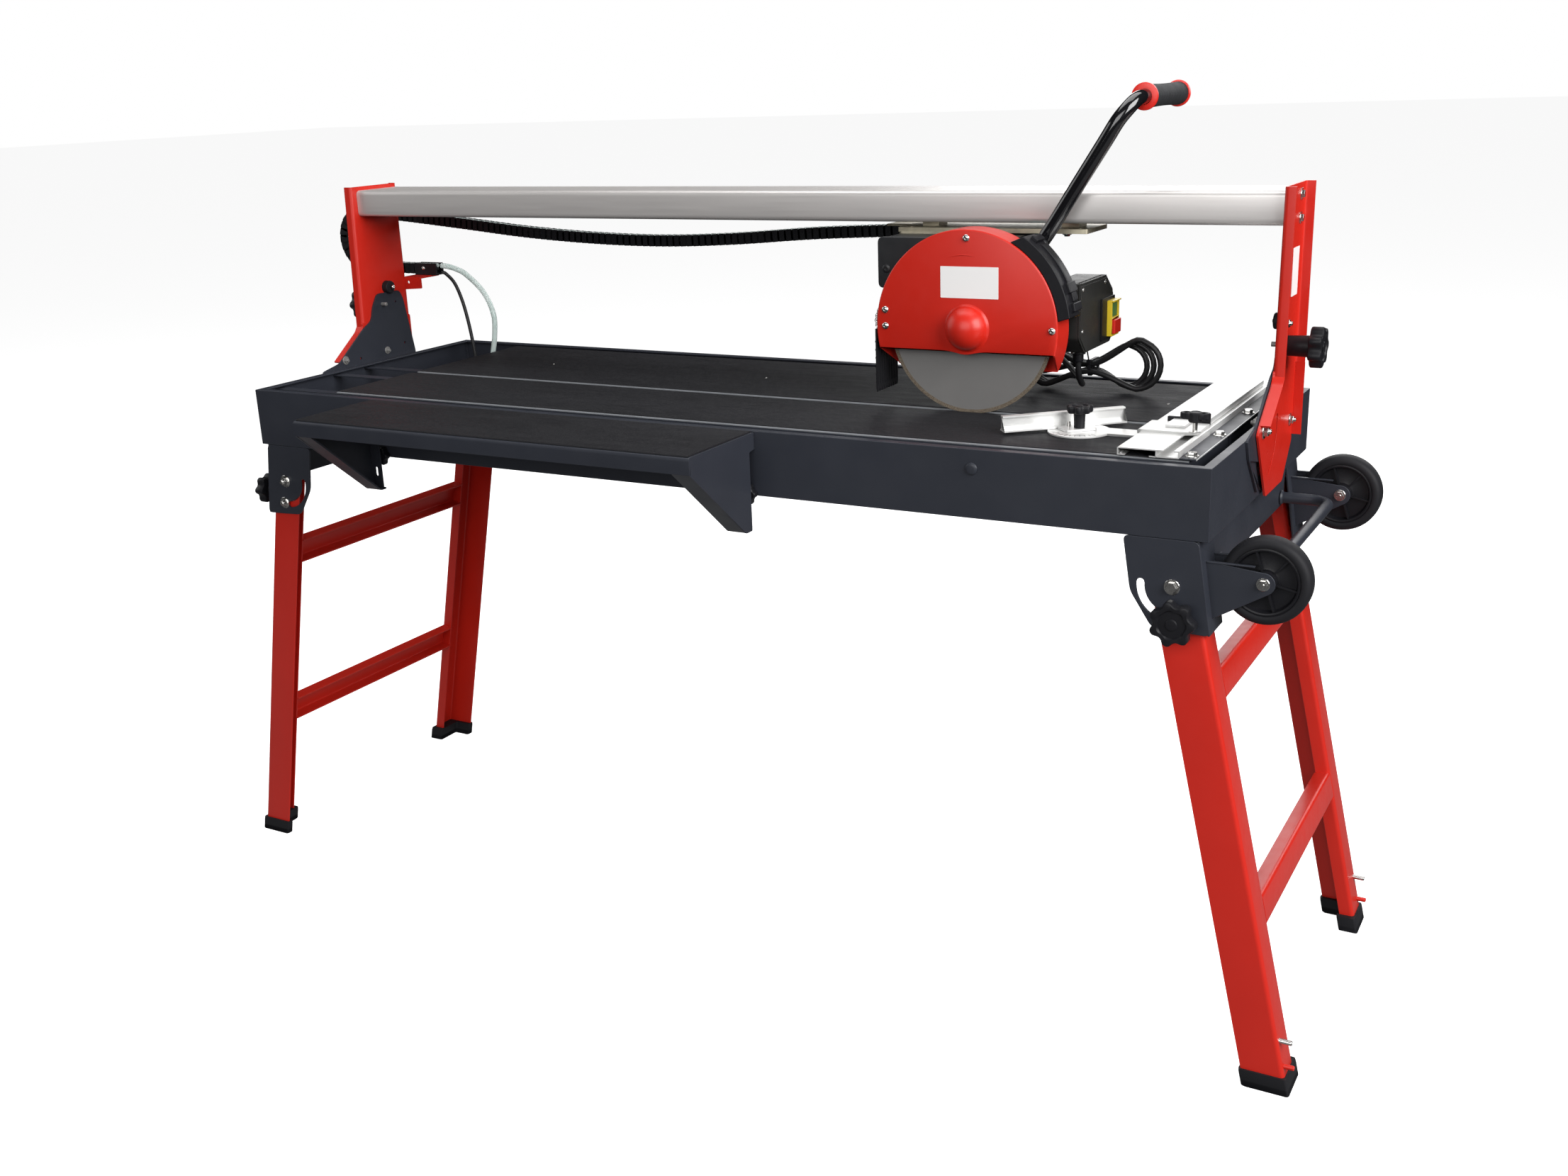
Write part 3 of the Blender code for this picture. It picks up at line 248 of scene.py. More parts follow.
def make_materials():
    m = {}
    m["red_coat"] = surface("red_powder_coat", (0.50, 0.016, 0.008), 0.36, fine=1500.0,
                            depth=0.00004, vary=0.05, coat=0.15, coat_rough=0.25)
    m["grey_coat"] = surface("anthracite_powder_coat", (0.023, 0.0255, 0.034), 0.42,
                             fine=1300.0, depth=0.00005, vary=0.12, patch=3.0)
    m["black_coat"] = surface("satin_black_paint", (0.011, 0.012, 0.014), 0.40, fine=1200.0)
    m["gloss_coat"] = surface("gloss_black_paint", (0.006, 0.006, 0.007), 0.12, fine=300.0,
                              depth=0.00002, coat=0.6, coat_rough=0.06)
    m["teal_coat"] = surface("teal_enamel", (0.075, 0.215, 0.215), 0.38, fine=700.0,
                             depth=0.00009)
    m["aluminium"] = surface("anodised_aluminium", (0.62, 0.595, 0.58), 0.40, 0.55,
                             fine=500.0, depth=0.00003, stretch=(0.03, 1, 1), patch=30.0,
                             vary=0.04)
    m["rail_aluminium"] = surface("mill_aluminium", (0.66, 0.66, 0.65), 0.36, 0.55,
                                  fine=500.0, depth=0.00003, stretch=(1, 0.03, 1),
                                  patch=30.0, vary=0.04)
    # Lighter grey that paints highlight: it stands in for the bright lines of light along the table
    # panel edges.
    m["worn_edge"] = surface("painted_edge_highlight", (0.20, 0.21, 0.225), 0.42, fine=900.0,
                             depth=0.00003, patch=30.0, vary=0.1)
    m["warm_zinc"] = surface("yellow_passivated_zinc", (0.44, 0.40, 0.30), 0.38, 0.6,
                             vary=0.25, patch=40.0, fine=500.0)
    m["steel"] = surface("ground_steel", (0.20, 0.195, 0.19), 0.46, 0.35, vary=0.04,
                         patch=12.0, fine=1400.0, depth=0.00003)
    m["screw_steel"] = surface("bright_screw_steel", (0.62, 0.61, 0.59), 0.22, 1.0, vary=0.1,
                               patch=300.0, fine=2500.0, depth=0.00002)
    m["rubber"] = surface("black_rubber", (0.009, 0.009, 0.011), 0.62, fine=1700.0,
                          depth=0.0001, vary=0.15)
    m["mat_rubber"] = surface("ribbed_mat_rubber", (0.011, 0.011, 0.013), 0.55,
                              fine=900.0, depth=0.00012, stretch=(0.25, 1, 1), vary=0.2,
                              patch=9.0, rough_vary=0.1)
    m["cable_rubber"] = surface("cable_sheath", (0.012, 0.012, 0.013), 0.38, fine=1500.0,
                                depth=0.00004)
    m["black_plastic"] = surface("grained_black_plastic", (0.008, 0.008, 0.010), 0.42,
                                 fine=2200.0, depth=0.00008, vary=0.1)
    m["box_plastic"] = surface("grey_black_plastic", (0.020, 0.020, 0.019), 0.45,
                               fine=1800.0, depth=0.0001, vary=0.1)
    m["yellow_plastic"] = surface("yellow_switch_plastic", (0.78, 0.56, 0.03), 0.32,
                                  fine=1500.0, depth=0.00003)
    m["red_plastic"] = surface("red_moulded_plastic", (0.62, 0.02, 0.012), 0.32, fine=1500.0,
                               depth=0.00003)
    m["green_plastic"] = surface("green_button_plastic", (0.075, 0.21, 0.065), 0.40,
                                 fine=1500.0, depth=0.00003)
    m["grip_rubber"] = surface("grip_rubber", (0.021, 0.022, 0.024), 0.60, fine=1300.0,
                               depth=0.00015)
    m["label"] = surface("blank_label", (0.82, 0.81, 0.80), 0.35, fine=400.0, depth=0.00002,
                         vary=0.02)
    m["brass"] = surface("brass_fitting", (0.62, 0.40, 0.14), 0.28, 1.0, vary=0.12,
                         patch=90.0)
    m["rim"] = speckled("diamond_rim", (0.085, 0.062, 0.042), (0.24, 0.20, 0.15), 0.55, 0.3,
                        1400.0)
    hose, tree, shader = shader_of("clear_hose", rough=0.22, glass=0.35, ior=1.42)
    tree.links.new(ramp(tree, grain(tree, 40.0), (0.55, 0.66, 0.63), (0.80, 0.86, 0.84)),
                   shader.inputs["Base Color"])
    bump(tree, shader, grain(tree, 250.0), 0.0001, 0.6)
    m["clear_hose"] = hose
    for names, level in ((("black_plastic", "rubber", "mat_rubber", "grip_rubber"), 0.22),
                         (("box_plastic", "cable_rubber", "red_coat", "grey_coat"), 0.33)):
        for name in names:
            nodes = m[name].node_tree.nodes
            shader = next(node for node in nodes if node.type == "BSDF_PRINCIPLED")
            shader.inputs["Specular IOR Level"].default_value = level
    return m


M = make_materials()


# ---------------------------------------------------------------- mesh helpers

AXES = {"x": Matrix(((0, 0, 1), (1, 0, 0), (0, 1, 0))),
        "y": Matrix(((1, 0, 0), (0, 0, 1), (0, 1, 0))),
        "z": Matrix.Identity(3)}


def block(low, high):
    cage = bmesh.new()
    low, high = Vector(low), Vector(high)
    bmesh.ops.create_cube(cage, size=1.0)
    bmesh.ops.scale(cage, vec=high - low, verts=cage.verts)
    bmesh.ops.translate(cage, vec=(low + high) / 2, verts=cage.verts)
    return cage


def moved(cage, matrix):
    bmesh.ops.transform(cage, matrix=matrix, verts=cage.verts)
    return cage


def plate(outline, axis, low, high, holes=()):
    """Flat outline with holes, extruded along an axis: (x, y), (y, z) or (x, z) points."""
    curve = bpy.data.curves.new("plate", "CURVE")
    curve.dimensions = "2D"
    curve.fill_mode = "BOTH"
    curve.extrude = abs(high - low) / 2
    for ring in (outline, *holes):
        spline = curve.splines.new("POLY")
        spline.points.add(len(ring) - 1)
        for point, (a, b) in zip(spline.points, ring):
            point.co = (a, b, 0, 1)
        spline.use_cyclic_u = True
    flat = bpy.data.objects.new("plate", curve)
    bpy.context.scene.collection.objects.link(flat)
    seen = flat.evaluated_get(bpy.context.evaluated_depsgraph_get())
    mesh = bpy.data.meshes.new_from_object(seen)
    cage = bmesh.new()
    cage.from_mesh(mesh)
    bpy.data.objects.remove(flat, do_unlink=True)
    bmesh.ops.remove_doubles(cage, verts=cage.verts, dist=1e-6)
    bmesh.ops.dissolve_limit(cage, angle_limit=0.01, verts=cage.verts, edges=cage.edges)
    turn = AXES[axis].to_4x4()
    middle = Vector((0, 0, 0))
    middle["xyz".index(axis)] = (low + high) / 2
    return moved(cage, Matrix.Translation(middle) @ turn)


def turned(profile, centre, axis, steps=48):
    """(radius, height) points turned about an axis through centre; ends may lie on it."""
    cage = bmesh.new()
    ring = [cage.verts.new((r, 0, h)) for r, h in profile]
    edges = [cage.edges.new(pair) for pair in zip(ring, ring[1:])]
    if profile[0][0] > 0 and profile[-1][0] > 0:
        edges.append(cage.edges.new((ring[-1], ring[0])))
    bmesh.ops.spin(cage, geom=ring + edges, cent=(0, 0, 0), axis=(0, 0, 1),
                   angle=2 * math.pi, steps=steps, use_duplicate=False)
    bmesh.ops.remove_doubles(cage, verts=cage.verts, dist=1e-6)
    bmesh.ops.dissolve_degenerate(cage, edges=cage.edges, dist=1e-7)
    return moved(cage, Matrix.Translation(Vector(centre)) @ AXES[axis].to_4x4())


def arc(centre, radius, start, end, steps):
    out = []
    for step in range(steps + 1):
        angle = math.radians(start + (end - start) * step / steps)
        out.append((centre[0] + radius * math.cos(angle), centre[1] + radius * math.sin(angle)))
    return out


def circle(centre, radius, steps=20):
    return arc(centre, radius, 0, 360 - 360 / steps, steps - 1)


def arc_slot(centre, radius, start, end, half, steps=14):
    """Outline of a curved slot with round ends."""
    first = (centre[0] + radius * math.cos(math.radians(start)),
             centre[1] + radius * math.sin(math.radians(start)))
    last = (centre[0] + radius * math.cos(math.radians(end)),
            centre[1] + radius * math.sin(math.radians(end)))
    return (arc(centre, radius + half, start, end, steps)
            + arc(last, half, end, end + 180, 5)[1:-1]
            + arc(centre, radius - half, end, start, steps)
            + arc(first, half, start + 180, start + 360, 5)[1:-1])


def rounded(points, radius, steps=4, closed=True):
    """Outline with each corner replaced by an arc."""
    count, out = len(points), []
    for i, here in enumerate(points):
        if not closed and i in (0, count - 1):
            out.append(here)
            continue
        p, q, r = (Vector(points[i - 1]), Vector(here), Vector(points[(i + 1) % count]))
        a, b = (p - q), (r - q)
        reach = min(radius, 0.45 * a.length, 0.45 * b.length)
        a, b = q + a.normalized() * reach, q + b.normalized() * reach
        for step in range(steps + 1):
            t = step / steps
            spot = a * (1 - t) ** 2 + q * 2 * t * (1 - t) + b * t ** 2
            out.append((spot.x, spot.y))
    return out


def ribbon(points, thick, radius):
    """Outline of a folded strip with bend radii, from its centre line."""
    line = [Vector(p) for p in rounded(points, radius, 4, closed=False)]
    left, right = [], []
    for i, spot in enumerate(line):
        before = (spot - line[i - 1]).normalized() if i else None
        after = (line[i + 1] - spot).normalized() if i < len(line) - 1 else None
        along = ((before or after) + (after or before)).normalized()
        normal = Vector((-along.y, along.x))
        widen = 1.0
        if before and after:
            widen = 1 / max(0.5, math.sqrt((1 + before.dot(after)) / 2))
        left.append(tuple(spot + normal * thick / 2 * widen))
        right.append(tuple(spot - normal * thick / 2 * widen))
    return left + right[::-1]


def smooth_route(points, spacing):
    route = [Vector(p) for p in points]
    route = [2 * route[0] - route[1]] + route + [2 * route[-1] - route[-2]]
    fine = []
    for i in range(1, len(route) - 2):
        a, b, c, d = route[i - 1:i + 3]
        for step in range(24):
            t = step / 24
            fine.append(0.5 * (2 * b + (c - a) * t + (2 * a - 5 * b + 4 * c - d) * t * t
                               + (3 * b - a - 3 * c + d) * t ** 3))
    fine.append(route[-2])
    lengths = [(q - p).length for p, q in zip(fine, fine[1:])]
    total = sum(lengths)
    count = max(2, round(total / spacing))
    even, walked, index = [fine[0]], 0.0, 0
    for n in range(1, count):
        goal = total * n / count
        while walked + lengths[index] < goal:
            walked += lengths[index]
            index += 1
        even.append(fine[index].lerp(fine[index + 1], (goal - walked) / lengths[index]))
    even.append(fine[-1])
    return even


def frames_along(path, side=Vector((0, 1, 0))):
    """Right-handed frames that follow a path, kept as close to one side direction as it lets."""
    out = []
    for i, spot in enumerate(path):
        ahead = (path[min(i + 1, len(path) - 1)] - path[max(i - 1, 0)]).normalized()
        across = (side - ahead * side.dot(ahead)).normalized()
        out.append((spot, ahead, across, ahead.cross(across)))
    return out


def swept(path, radius, sides=20, side=Vector((0, 1, 0))):
    """Round tube along a path, with closed ends; radius is a number or one per point."""
    cage = bmesh.new()
    rings = []
    for i, (spot, _, across, over) in enumerate(frames_along(path, side)):
        r = radius[i] if isinstance(radius, (list, tuple)) else radius
        rings.append([cage.verts.new(spot + across * r * math.cos(2 * math.pi * k / sides)
                                     + over * r * math.sin(2 * math.pi * k / sides))
                      for k in range(sides)])
    for a, b in zip(rings, rings[1:]):
        for k in range(sides):
            cage.faces.new((a[k], a[(k + 1) % sides], b[(k + 1) % sides], b[k]))
    cage.faces.new(rings[0])
    cage.faces.new(rings[-1][::-1])
    return cage


def lofted(rings):
    """Closed skin over rings of equal length, capped at both ends."""
    cage = bmesh.new()
    rows = [[cage.verts.new(p) for p in ring] for ring in rings]
    n = len(rows[0])
    for a, b in zip(rows, rows[1:]):
        for k in range(n):
            cage.faces.new((a[k], a[(k + 1) % n], b[(k + 1) % n], b[k]))
    cage.faces.new(rows[0])
    cage.faces.new(rows[-1][::-1])
    return cage


def piece(name, cages, mat, body, slot, nodes=(), bevel=0.0, segments=2, sharp=32, extra=()):
    """One finished object from several cages, riding on a body. extra adds (cage, material)."""
    cages = cages if isinstance(cages, (list, tuple)) else [cages]
    stack = bmesh.new()
    mats = [mat] + [m for _, m in extra]
    for cage, index in [(c, 0) for c in cages] + [(c, 1 + i) for i, (c, _) in enumerate(extra)]:
        bmesh.ops.recalc_face_normals(cage, faces=cage.faces)
        for face in cage.faces:
            face.material_index = index
            face.smooth = True
        bmesh.ops.translate(cage, vec=HOME, verts=cage.verts)
        part = bpy.data.meshes.new("part")
        cage.to_mesh(part)
        stack.from_mesh(part)
        bpy.data.meshes.remove(part)
        cage.free()
    mesh = bpy.data.meshes.new(name)
    stack.to_mesh(mesh)
    stack.free()
    mesh.set_sharp_from_angle(angle=math.radians(sharp))
    for entry in mats:
        mesh.materials.append(entry)
    made = bpy.data.objects.new(name, mesh)
    bpy.context.scene.collection.objects.link(made)
    if bevel:
        edge = made.modifiers.new("edge", "BEVEL")
        edge.width = bevel
        edge.segments = segments
        edge.limit_method = "ANGLE"
        edge.angle_limit = math.radians(30)
        edge.harden_normals = True
        edge.use_clamp_overlap = True
    if body:
        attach(made, body)
    if nodes:
        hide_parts(*nodes)
    return made


def copy_cage(node):
    """The CAD node's own solid in the drawing frame, with its flat triangles joined up."""
    source = bpy.data.objects[node]
    cage = bmesh.new()
    cage.from_mesh(source.data)
    bmesh.ops.remove_doubles(cage, verts=cage.verts, dist=2e-6)
    bmesh.ops.dissolve_limit(cage, angle_limit=0.02, verts=cage.verts, edges=cage.edges)
    bmesh.ops.translate(cage, vec=-HOME, verts=cage.verts)
    return cage


def refined(node, mat, body, slot, bevel=0.0008, extra_cages=(), **more):
    """The CAD solid with softened edges, and any added detail."""
    return piece("fine_" + node, [copy_cage(node), *extra_cages], mat, body, slot, (node,),
                 bevel, **more)


def facing(axis, sign):
    """Turns a fitting drawn along +Z to look along a signed axis."""
    look = {"x": Vector((1, 0, 0)), "y": Vector((0, 1, 0)), "z": Vector((0, 0, 1))}[axis] * sign
    return look.to_track_quat("Z", "Y").to_matrix().to_4x4()


def button_head(centre, axis, sign, radius=0.0048, height=0.0030):
    """Domed socket screw with its hexagon recess."""
    dome = [(radius * math.cos(a), height * math.sin(a))
            for a in (0.0, 0.25, 0.55, 0.85, 1.08)]
    inner = radius * 0.42
    profile = dome + [(inner, height * 0.9), (inner * 0.9, height * 0.35), (0, height * 0.3)]
    head = turned([(0, -0.0002), (radius, -0.0002)] + profile, (0, 0, 0), "z", 24)
    return moved(head, Matrix.Translation(Vector(centre)) @ facing(axis, sign))


def hex_bolt(centre, axis, sign, across=0.0060, height=0.0045, washer=0.0080, stud=0.0):
    """Hexagon head or nut on a washer, with an optional threaded end standing out of it."""
    out = []
    if washer:
        out.append(turned([(0, 0), (washer, 0), (washer, 0.0010), (washer - 0.0004, 0.0014),
                           (0, 0.0014)], (0, 0, 0), "z", 24))
    rings = []
    for scale, level in ((1.0, 0.0012), (1.0, height * 0.85), (0.93, height), (0.4, height)):
        rings.append([(across * scale * math.cos(math.radians(60 * k)),
                       across * scale * math.sin(math.radians(60 * k)), level)
                      for k in range(6)])
    out.append(lofted(rings))
    if stud:
        turns, profile = int(stud / 0.0009), [(0.0, height - 0.0005)]
        for n in range(turns):
            level = height - 0.0005 + n * 0.0009
            profile += [(across * 0.46, level), (across * 0.52, level + 0.00045)]
        profile += [(across * 0.42, height + stud), (0, height + stud)]
        out.append(turned(profile, (0, 0, 0), "z", 16))
    turn = Matrix.Translation(Vector(centre)) @ facing(axis, sign)
    return [moved(cage, turn) for cage in out]


def star(radius, lobes, depth, scale, level, steps=12):
    ring = []
    for k in range(lobes * steps):
        angle = 2 * math.pi * k / (lobes * steps)
        wave = math.cos(lobes * angle)
        reach = radius * (1 - depth + depth * math.copysign(abs(wave) ** 0.75, wave)) * scale
        ring.append((reach * math.cos(angle), reach * math.sin(angle), level))
    return ring


def star_knob(centre, axis, sign, radius, thick, hub_radius, hub_long, lobes=7):
    """Lobed clamping knob drawn from its back outwards: hub, dished star head, centre cap."""
    edge = 0.0022
    base = hub_long
    rings = [star(radius, lobes, 0.10, 0.90, base), star(radius, lobes, 0.10, 0.97, base + 0.0008),
             star(radius, lobes, 0.10, 1.0, base + edge),
             star(radius, lobes, 0.10, 1.0, base + thick - edge),
             star(radius, lobes, 0.10, 0.97, base + thick - 0.0007),
             star(radius, lobes, 0.09, 0.90, base + thick),
             star(radius, lobes, 0.04, 0.66, base + thick - 0.0003),
             star(radius, lobes, 0.0, 0.58, base + thick - 0.0022),
             star(radius, lobes, 0.0, 0.30, base + thick - 0.0018)]
    cages = [lofted(rings),
             turned([(0, 0), (hub_radius, 0), (hub_radius * 1.02, 0.0006),
                     (hub_radius * 1.12, hub_long + 0.001), (0, hub_long + 0.001)],
                    (0, 0, 0), "z", 32),
             turned([(0, base + thick - 0.003), (radius * 0.26, base + thick - 0.003),
                     (radius * 0.26, base + thick - 0.0012), (radius * 0.22, base + thick - 0.0004),
                     (0, base + thick)], (0, 0, 0), "z", 28)]
    turn = Matrix.Translation(Vector(centre)) @ facing(axis, sign)
    return [moved(cage, turn) for cage in cages]


# ---------------------------------------------------------------- cords

def curve_piece(name, path, radius, mat, body, nodes, resolution=6):
    curve = bpy.data.curves.new(name, "CURVE")
    curve.dimensions = "3D"
    curve.bevel_depth = radius
    curve.bevel_resolution = resolution
    curve.use_fill_caps = True
    spline = curve.splines.new("POLY")
    spline.points.add(len(path) - 1)
    for point, spot in zip(spline.points, path):
        point.co = (*(HOME + spot), 1)
    spline.use_smooth = True
    curve.materials.append(mat)
    made = bpy.data.objects.new(name, curve)
    bpy.context.scene.collection.objects.link(made)
    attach(made, body)
    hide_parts(*nodes)
    return made


def length_of(path):
    return sum((q - p).length for p, q in zip(path, path[1:]))


def hank_route():
    """Stretched loops pinched by one tie; every turn lies a diameter further back."""
    pitch, pinch, loops = 0.0087, 0.0044, 3
    route = []
    for loop in range(loops):
        right = 0.0325 - 0.0025 * loop
        folds = ((0.4095, 0.0245, 80, 280, loop - 0.5, -pinch),
                 (0.5720 - 0.012 * loop - right, right, -100, 100, loop, pinch))
        for x, radius, first, last, turn, level in folds:
            for n in range(9):
                t = n / 8
                angle = math.radians(first + (last - first) * t)
                route.append(Vector((x + radius * math.cos(angle),
                                     0.3830 + pitch * (turn - 0.2 + 0.4 * t),
                                     MAT_REST + radius + radius * math.sin(angle))))
            route.append(Vector((0.4728, 0.3830 + pitch * (turn + 0.25), 0.8140 + level)))
    return route


def make_cords():
    start = Vector((0.484, 0.300, 0.8370))
    entry = [start] + [Vector(p) for p in (
        (0.4840, 0.3005, 0.8300), (0.4840, 0.3040, 0.8190), (0.4835, 0.3120, 0.8090),
        (0.4815, 0.3250, 0.8025), (0.4765, 0.3400, 0.8005), (0.4670, 0.3550, 0.8040),
        (0.4540, 0.3660, 0.8120), (0.4390, 0.3725, 0.8230), (0.4260, 0.3755, 0.8320))]
    out = [Vector(p) for p in (
        (0.4400, 0.4040, 0.8130), (0.4100, 0.4048, 0.8050), (0.3880, 0.4040, 0.8010),
        (0.3730, 0.4000, 0.7998), (0.3570, 0.3940, 0.7996), (0.3435, 0.3921, 0.7995))]
    path = smooth_route(entry + hank_route() + out, 0.0075)
    plug = turned([(0, 0), (0.0052, 0), (0.0060, 0.0010), (0.0062, 0.0040), (0.0052, 0.0050),
                   (0.0066, 0.0060), (0.0066, 0.0090), (0.0056, 0.0100), (0.0076, 0.0115),
                   (0.0078, 0.0150), (0.0070, 0.0160), (0.0150, 0.0240), (0.0178, 0.0290),
                   (0.0184, 0.0340), (0.0184, 0.0480), (0.0176, 0.0490), (0, 0.0490)],
                  (0, 0, 0), "z", 40)
    pins = []
    for side in (-1, 1):
        pins.append(turned([(0.0024, 0.0480), (0.0024, 0.0570), (0.0018, 0.0595), (0, 0.0600)],
                           (side * 0.0092, 0, 0), "z", 16))
    place = Matrix.Translation((0.3440, 0.392, 0.8000)) @ facing("x", -1)
    plug_piece = piece("mains_plug", moved(plug, place), M["cable_rubber"], "carriage",
                       "rubber", ("lead_plug",), extra=[(moved(pin, place), M["screw_steel"])
                                                        for pin in pins])
    tie = rounded([(0.3775, 0.8030), (0.4165, 0.8030), (0.4165, 0.8250), (0.3775, 0.8250)],
                  0.006, 5)
    band = plate(tie, "x", 0.4705, 0.4750,
                 [rounded([(0.3787, 0.8042), (0.4153, 0.8042), (0.4153, 0.8238),
                           (0.3787, 0.8238)], 0.005, 5)])
    lock = block((0.4700, 0.3745, 0.8210), (0.4755, 0.3790, 0.8265))
    tail = moved(block((-0.0009, -0.0006, 0.0), (0.0009, 0.0006, 0.017)),
                 Matrix.Translation((0.4728, 0.3765, 0.8255)) @ Matrix.Rotation(0.5, 4, "X"))
    tie_piece = piece("lead_tie", [band, lock, tail], M["black_plastic"], "carriage",
                      "black_plastic", bevel=0.0004)
    lead = curve_piece("mains_lead_cord", path, 0.0040, M["cable_rubber"], "carriage",
                       ("mains_lead", "lead_hank"))
    length_of(path)
    hose = smooth_route([(-0.6970, 0.402, 0.9252), (-0.6880, 0.4045, 0.9245),
                         (-0.6730, 0.412, 0.9190), (-0.6570, 0.418, 0.9090),
                         (-0.6246, 0.420, 0.8800), (-0.6070, 0.420, 0.8430),
                         (-0.6090, 0.420, 0.8050), (-0.6165, 0.420, 0.7730),
                         (-0.6190, 0.420, 0.7435)], 0.006)
    cable = smooth_route([(-0.6970, 0.402, 0.9150), (-0.6910, 0.404, 0.9120),
                          (-0.6820, 0.414, 0.8950), (-0.6730, 0.419, 0.8650),
                          (-0.6650, 0.420, 0.8300), (-0.6590, 0.420, 0.7936),
                          (-0.6560, 0.420, 0.7650), (-0.6555, 0.420, 0.7430)], 0.006)
    for name, path, radius, mat, slot, node, stiff in (
            ("water_hose_run", hose, 0.0045, M["clear_hose"], "clear_hose", "water_hose",
             "stiff"),
            ("pump_cable_run", cable, 0.0030, M["cable_rubber"], "rubber", "pump_cable",
             "medium")):
        body = swept(path, radius, 18)
        run = piece(name, body, mat, None, slot, (node,))
        length_of(path)
        [tuple(HOME + p) for p in path]
        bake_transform(run)


# ---------------------------------------------------------------- base

def make_mats():
    for node, low, high in (("front_table_mat", 0.034, 0.1995), ("rear_table_mat", 0.2165, 0.470)):
        (x0, _, _), (x1, _, _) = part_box(node)
        x0, x1 = x0 - HOME.x, x1 - HOME.x
        count = round((high - low) / 0.0036)
        pitch = (high - low) / count
        ridge = []
        for n in range(count):
            y = low + n * pitch
            ridge += [(y + 0.0004, TABLE - 0.0009), (y + 0.0010, TABLE),
                      (y + pitch - 0.0010, TABLE), (y + pitch - 0.0004, TABLE - 0.0009)]
        outline = [(low, TABLE - 0.0029), (high, TABLE - 0.0029)] + ridge[::-1]
        piece("ribbed_" + node, plate(outline, "x", x0, x1), M["mat_rubber"], "base", "rubber",
              (node,), sharp=20)


def make_base():
    strips = []
    for low, high in ((0.1650, 0.1815), (0.2375, 0.2530), (0.0390, 0.0560)):
        strips.append(block((-0.7435, low, 0.7725), (-0.6050, high, 0.7747)))
    drain = turned([(0, 0.0), (0.0078, 0.0), (0.0078, 0.0016), (0.0062, 0.0030),
                    (0.0040, 0.0034), (0, 0.0035)], (0, 0, 0), "z", 36)
    drain = moved(drain, Matrix.Translation((0.457, 0.0001, 0.7560)) @ facing("y", -1))
    refined("water_tray", M["grey_coat"], "base", "grey_coat", 0.0013, [drain])
    piece("left_panel_rests", strips, M["grey_coat"], "base", "grey_coat", bevel=0.0005)
    refined("front_table_panel", M["grey_coat"], "base", "grey_coat", 0.0009)
    refined("rear_table_panel", M["grey_coat"], "base", "grey_coat", 0.0009)
    # Thin strips in a lighter grey along the panel edges: painted highlight standing in for the
    # bright edge lines.
    highlight_strips = []
    for low, high in ((0.0302, 0.0335), (0.2000, 0.2032), (0.2128, 0.2160)):
        highlight_strips.append(block((-0.6035, low, TABLE - 0.0031), (0.7115, high, TABLE - 0.0012)))
    piece("panel_edge_strips", highlight_strips, M["worn_edge"], "base", "aluminium",
          bevel=0.0003)
    make_mats()
    dots = [button_head((x, y, TABLE - 0.0012), "z", 1, 0.0026, 0.0016)
            for x in (-0.42, -0.02, 0.36, 0.598) for y in (0.335,)]
    piece("mat_rivets", dots, M["screw_steel"], "base", "steel")
    for side, name in ((-1, "left"), (1, "right")):
        outline = rounded([(0.146, 0.781), (0.160, 0.752), (0.230, 0.700), (0.360, 0.700),
                           (0.370, 0.781), (0.352, 0.876), (0.344, 0.890), (0.291, 0.890),
                           (0.278, 0.870), (0.271, 0.848), (0.251, 0.8376), (0.186, 0.789)],
                          0.006, 3)
        slot = [(0.1600, 0.7530), (0.1640, 0.7530), (0.2120, 0.7060), (0.2090, 0.7030)]
        low, high = sorted((side * 0.7463, side * 0.7493))
        holes = [circle((0.333, 0.872), 0.0020, 12), circle((0.345, 0.800), 0.0022, 12),
                 circle((0.236, 0.790), 0.0022, 12)]
        if side > 0:
            holes.append(slot)
        plates = [plate(outline, "x", low, high, holes)]
        bumper = turned([(0, -0.010), (0.0095, -0.010), (0.0105, -0.0085), (0.0105, 0.0035),
                         (0.0095, 0.005), (0, 0.005)],
                        (side * 0.7440, 0.318, 0.8985), "x", 32)
        inner = -side
        bolts = hex_bolt((side * 0.7462, 0.200, 0.7925), "x", inner, 0.0050, 0.0040, 0.0070, 0.003)
        bolts += hex_bolt((side * 0.7462, 0.300, 0.7935), "x", inner, 0.0045, 0.0038, 0.0062, 0.003)
        bolts.append(turned([(0, 0), (0.0032, 0), (0.0032, 0.009), (0.0024, 0.010), (0, 0.010)],
                            (side * 0.7462 - (0.010 if side > 0 else 0.0), 0.300, 0.872), "x", 16))
        screw = button_head((side * 0.7440 - side * 0.0102, 0.318, 0.8985), "x", inner, 0.0038,
                            0.0022)
        piece(name + "_pivot_gusset", plates, M["grey_coat"], "base", "grey_coat",
              (name + "_pivot_plate",), 0.0006)
        piece(name + "_bumper", bumper, M["rubber"], "bridge", "rubber", bevel=0.0006)
        piece(name + "_bumper_screw", screw, M["screw_steel"], "bridge", "steel")
        piece(name + "_gusset_bolts", bolts, M["steel"], "base", "steel")
    box_low, box_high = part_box("water_pump")
    low, high = Vector(box_low) - HOME, Vector(box_high) - HOME
    ribs = []
    for n in range(7):
        z = low.z + 0.006 + n * 0.0045
        ribs.append(block((low.x - 0.0003 + 0.006, low.y + 0.0002, z), (high.x - 0.006,
                                                                       low.y + 0.0012, z + 0.002)))
    refined("water_pump", M["black_plastic"], "base", "black_plastic", 0.0008, ribs)


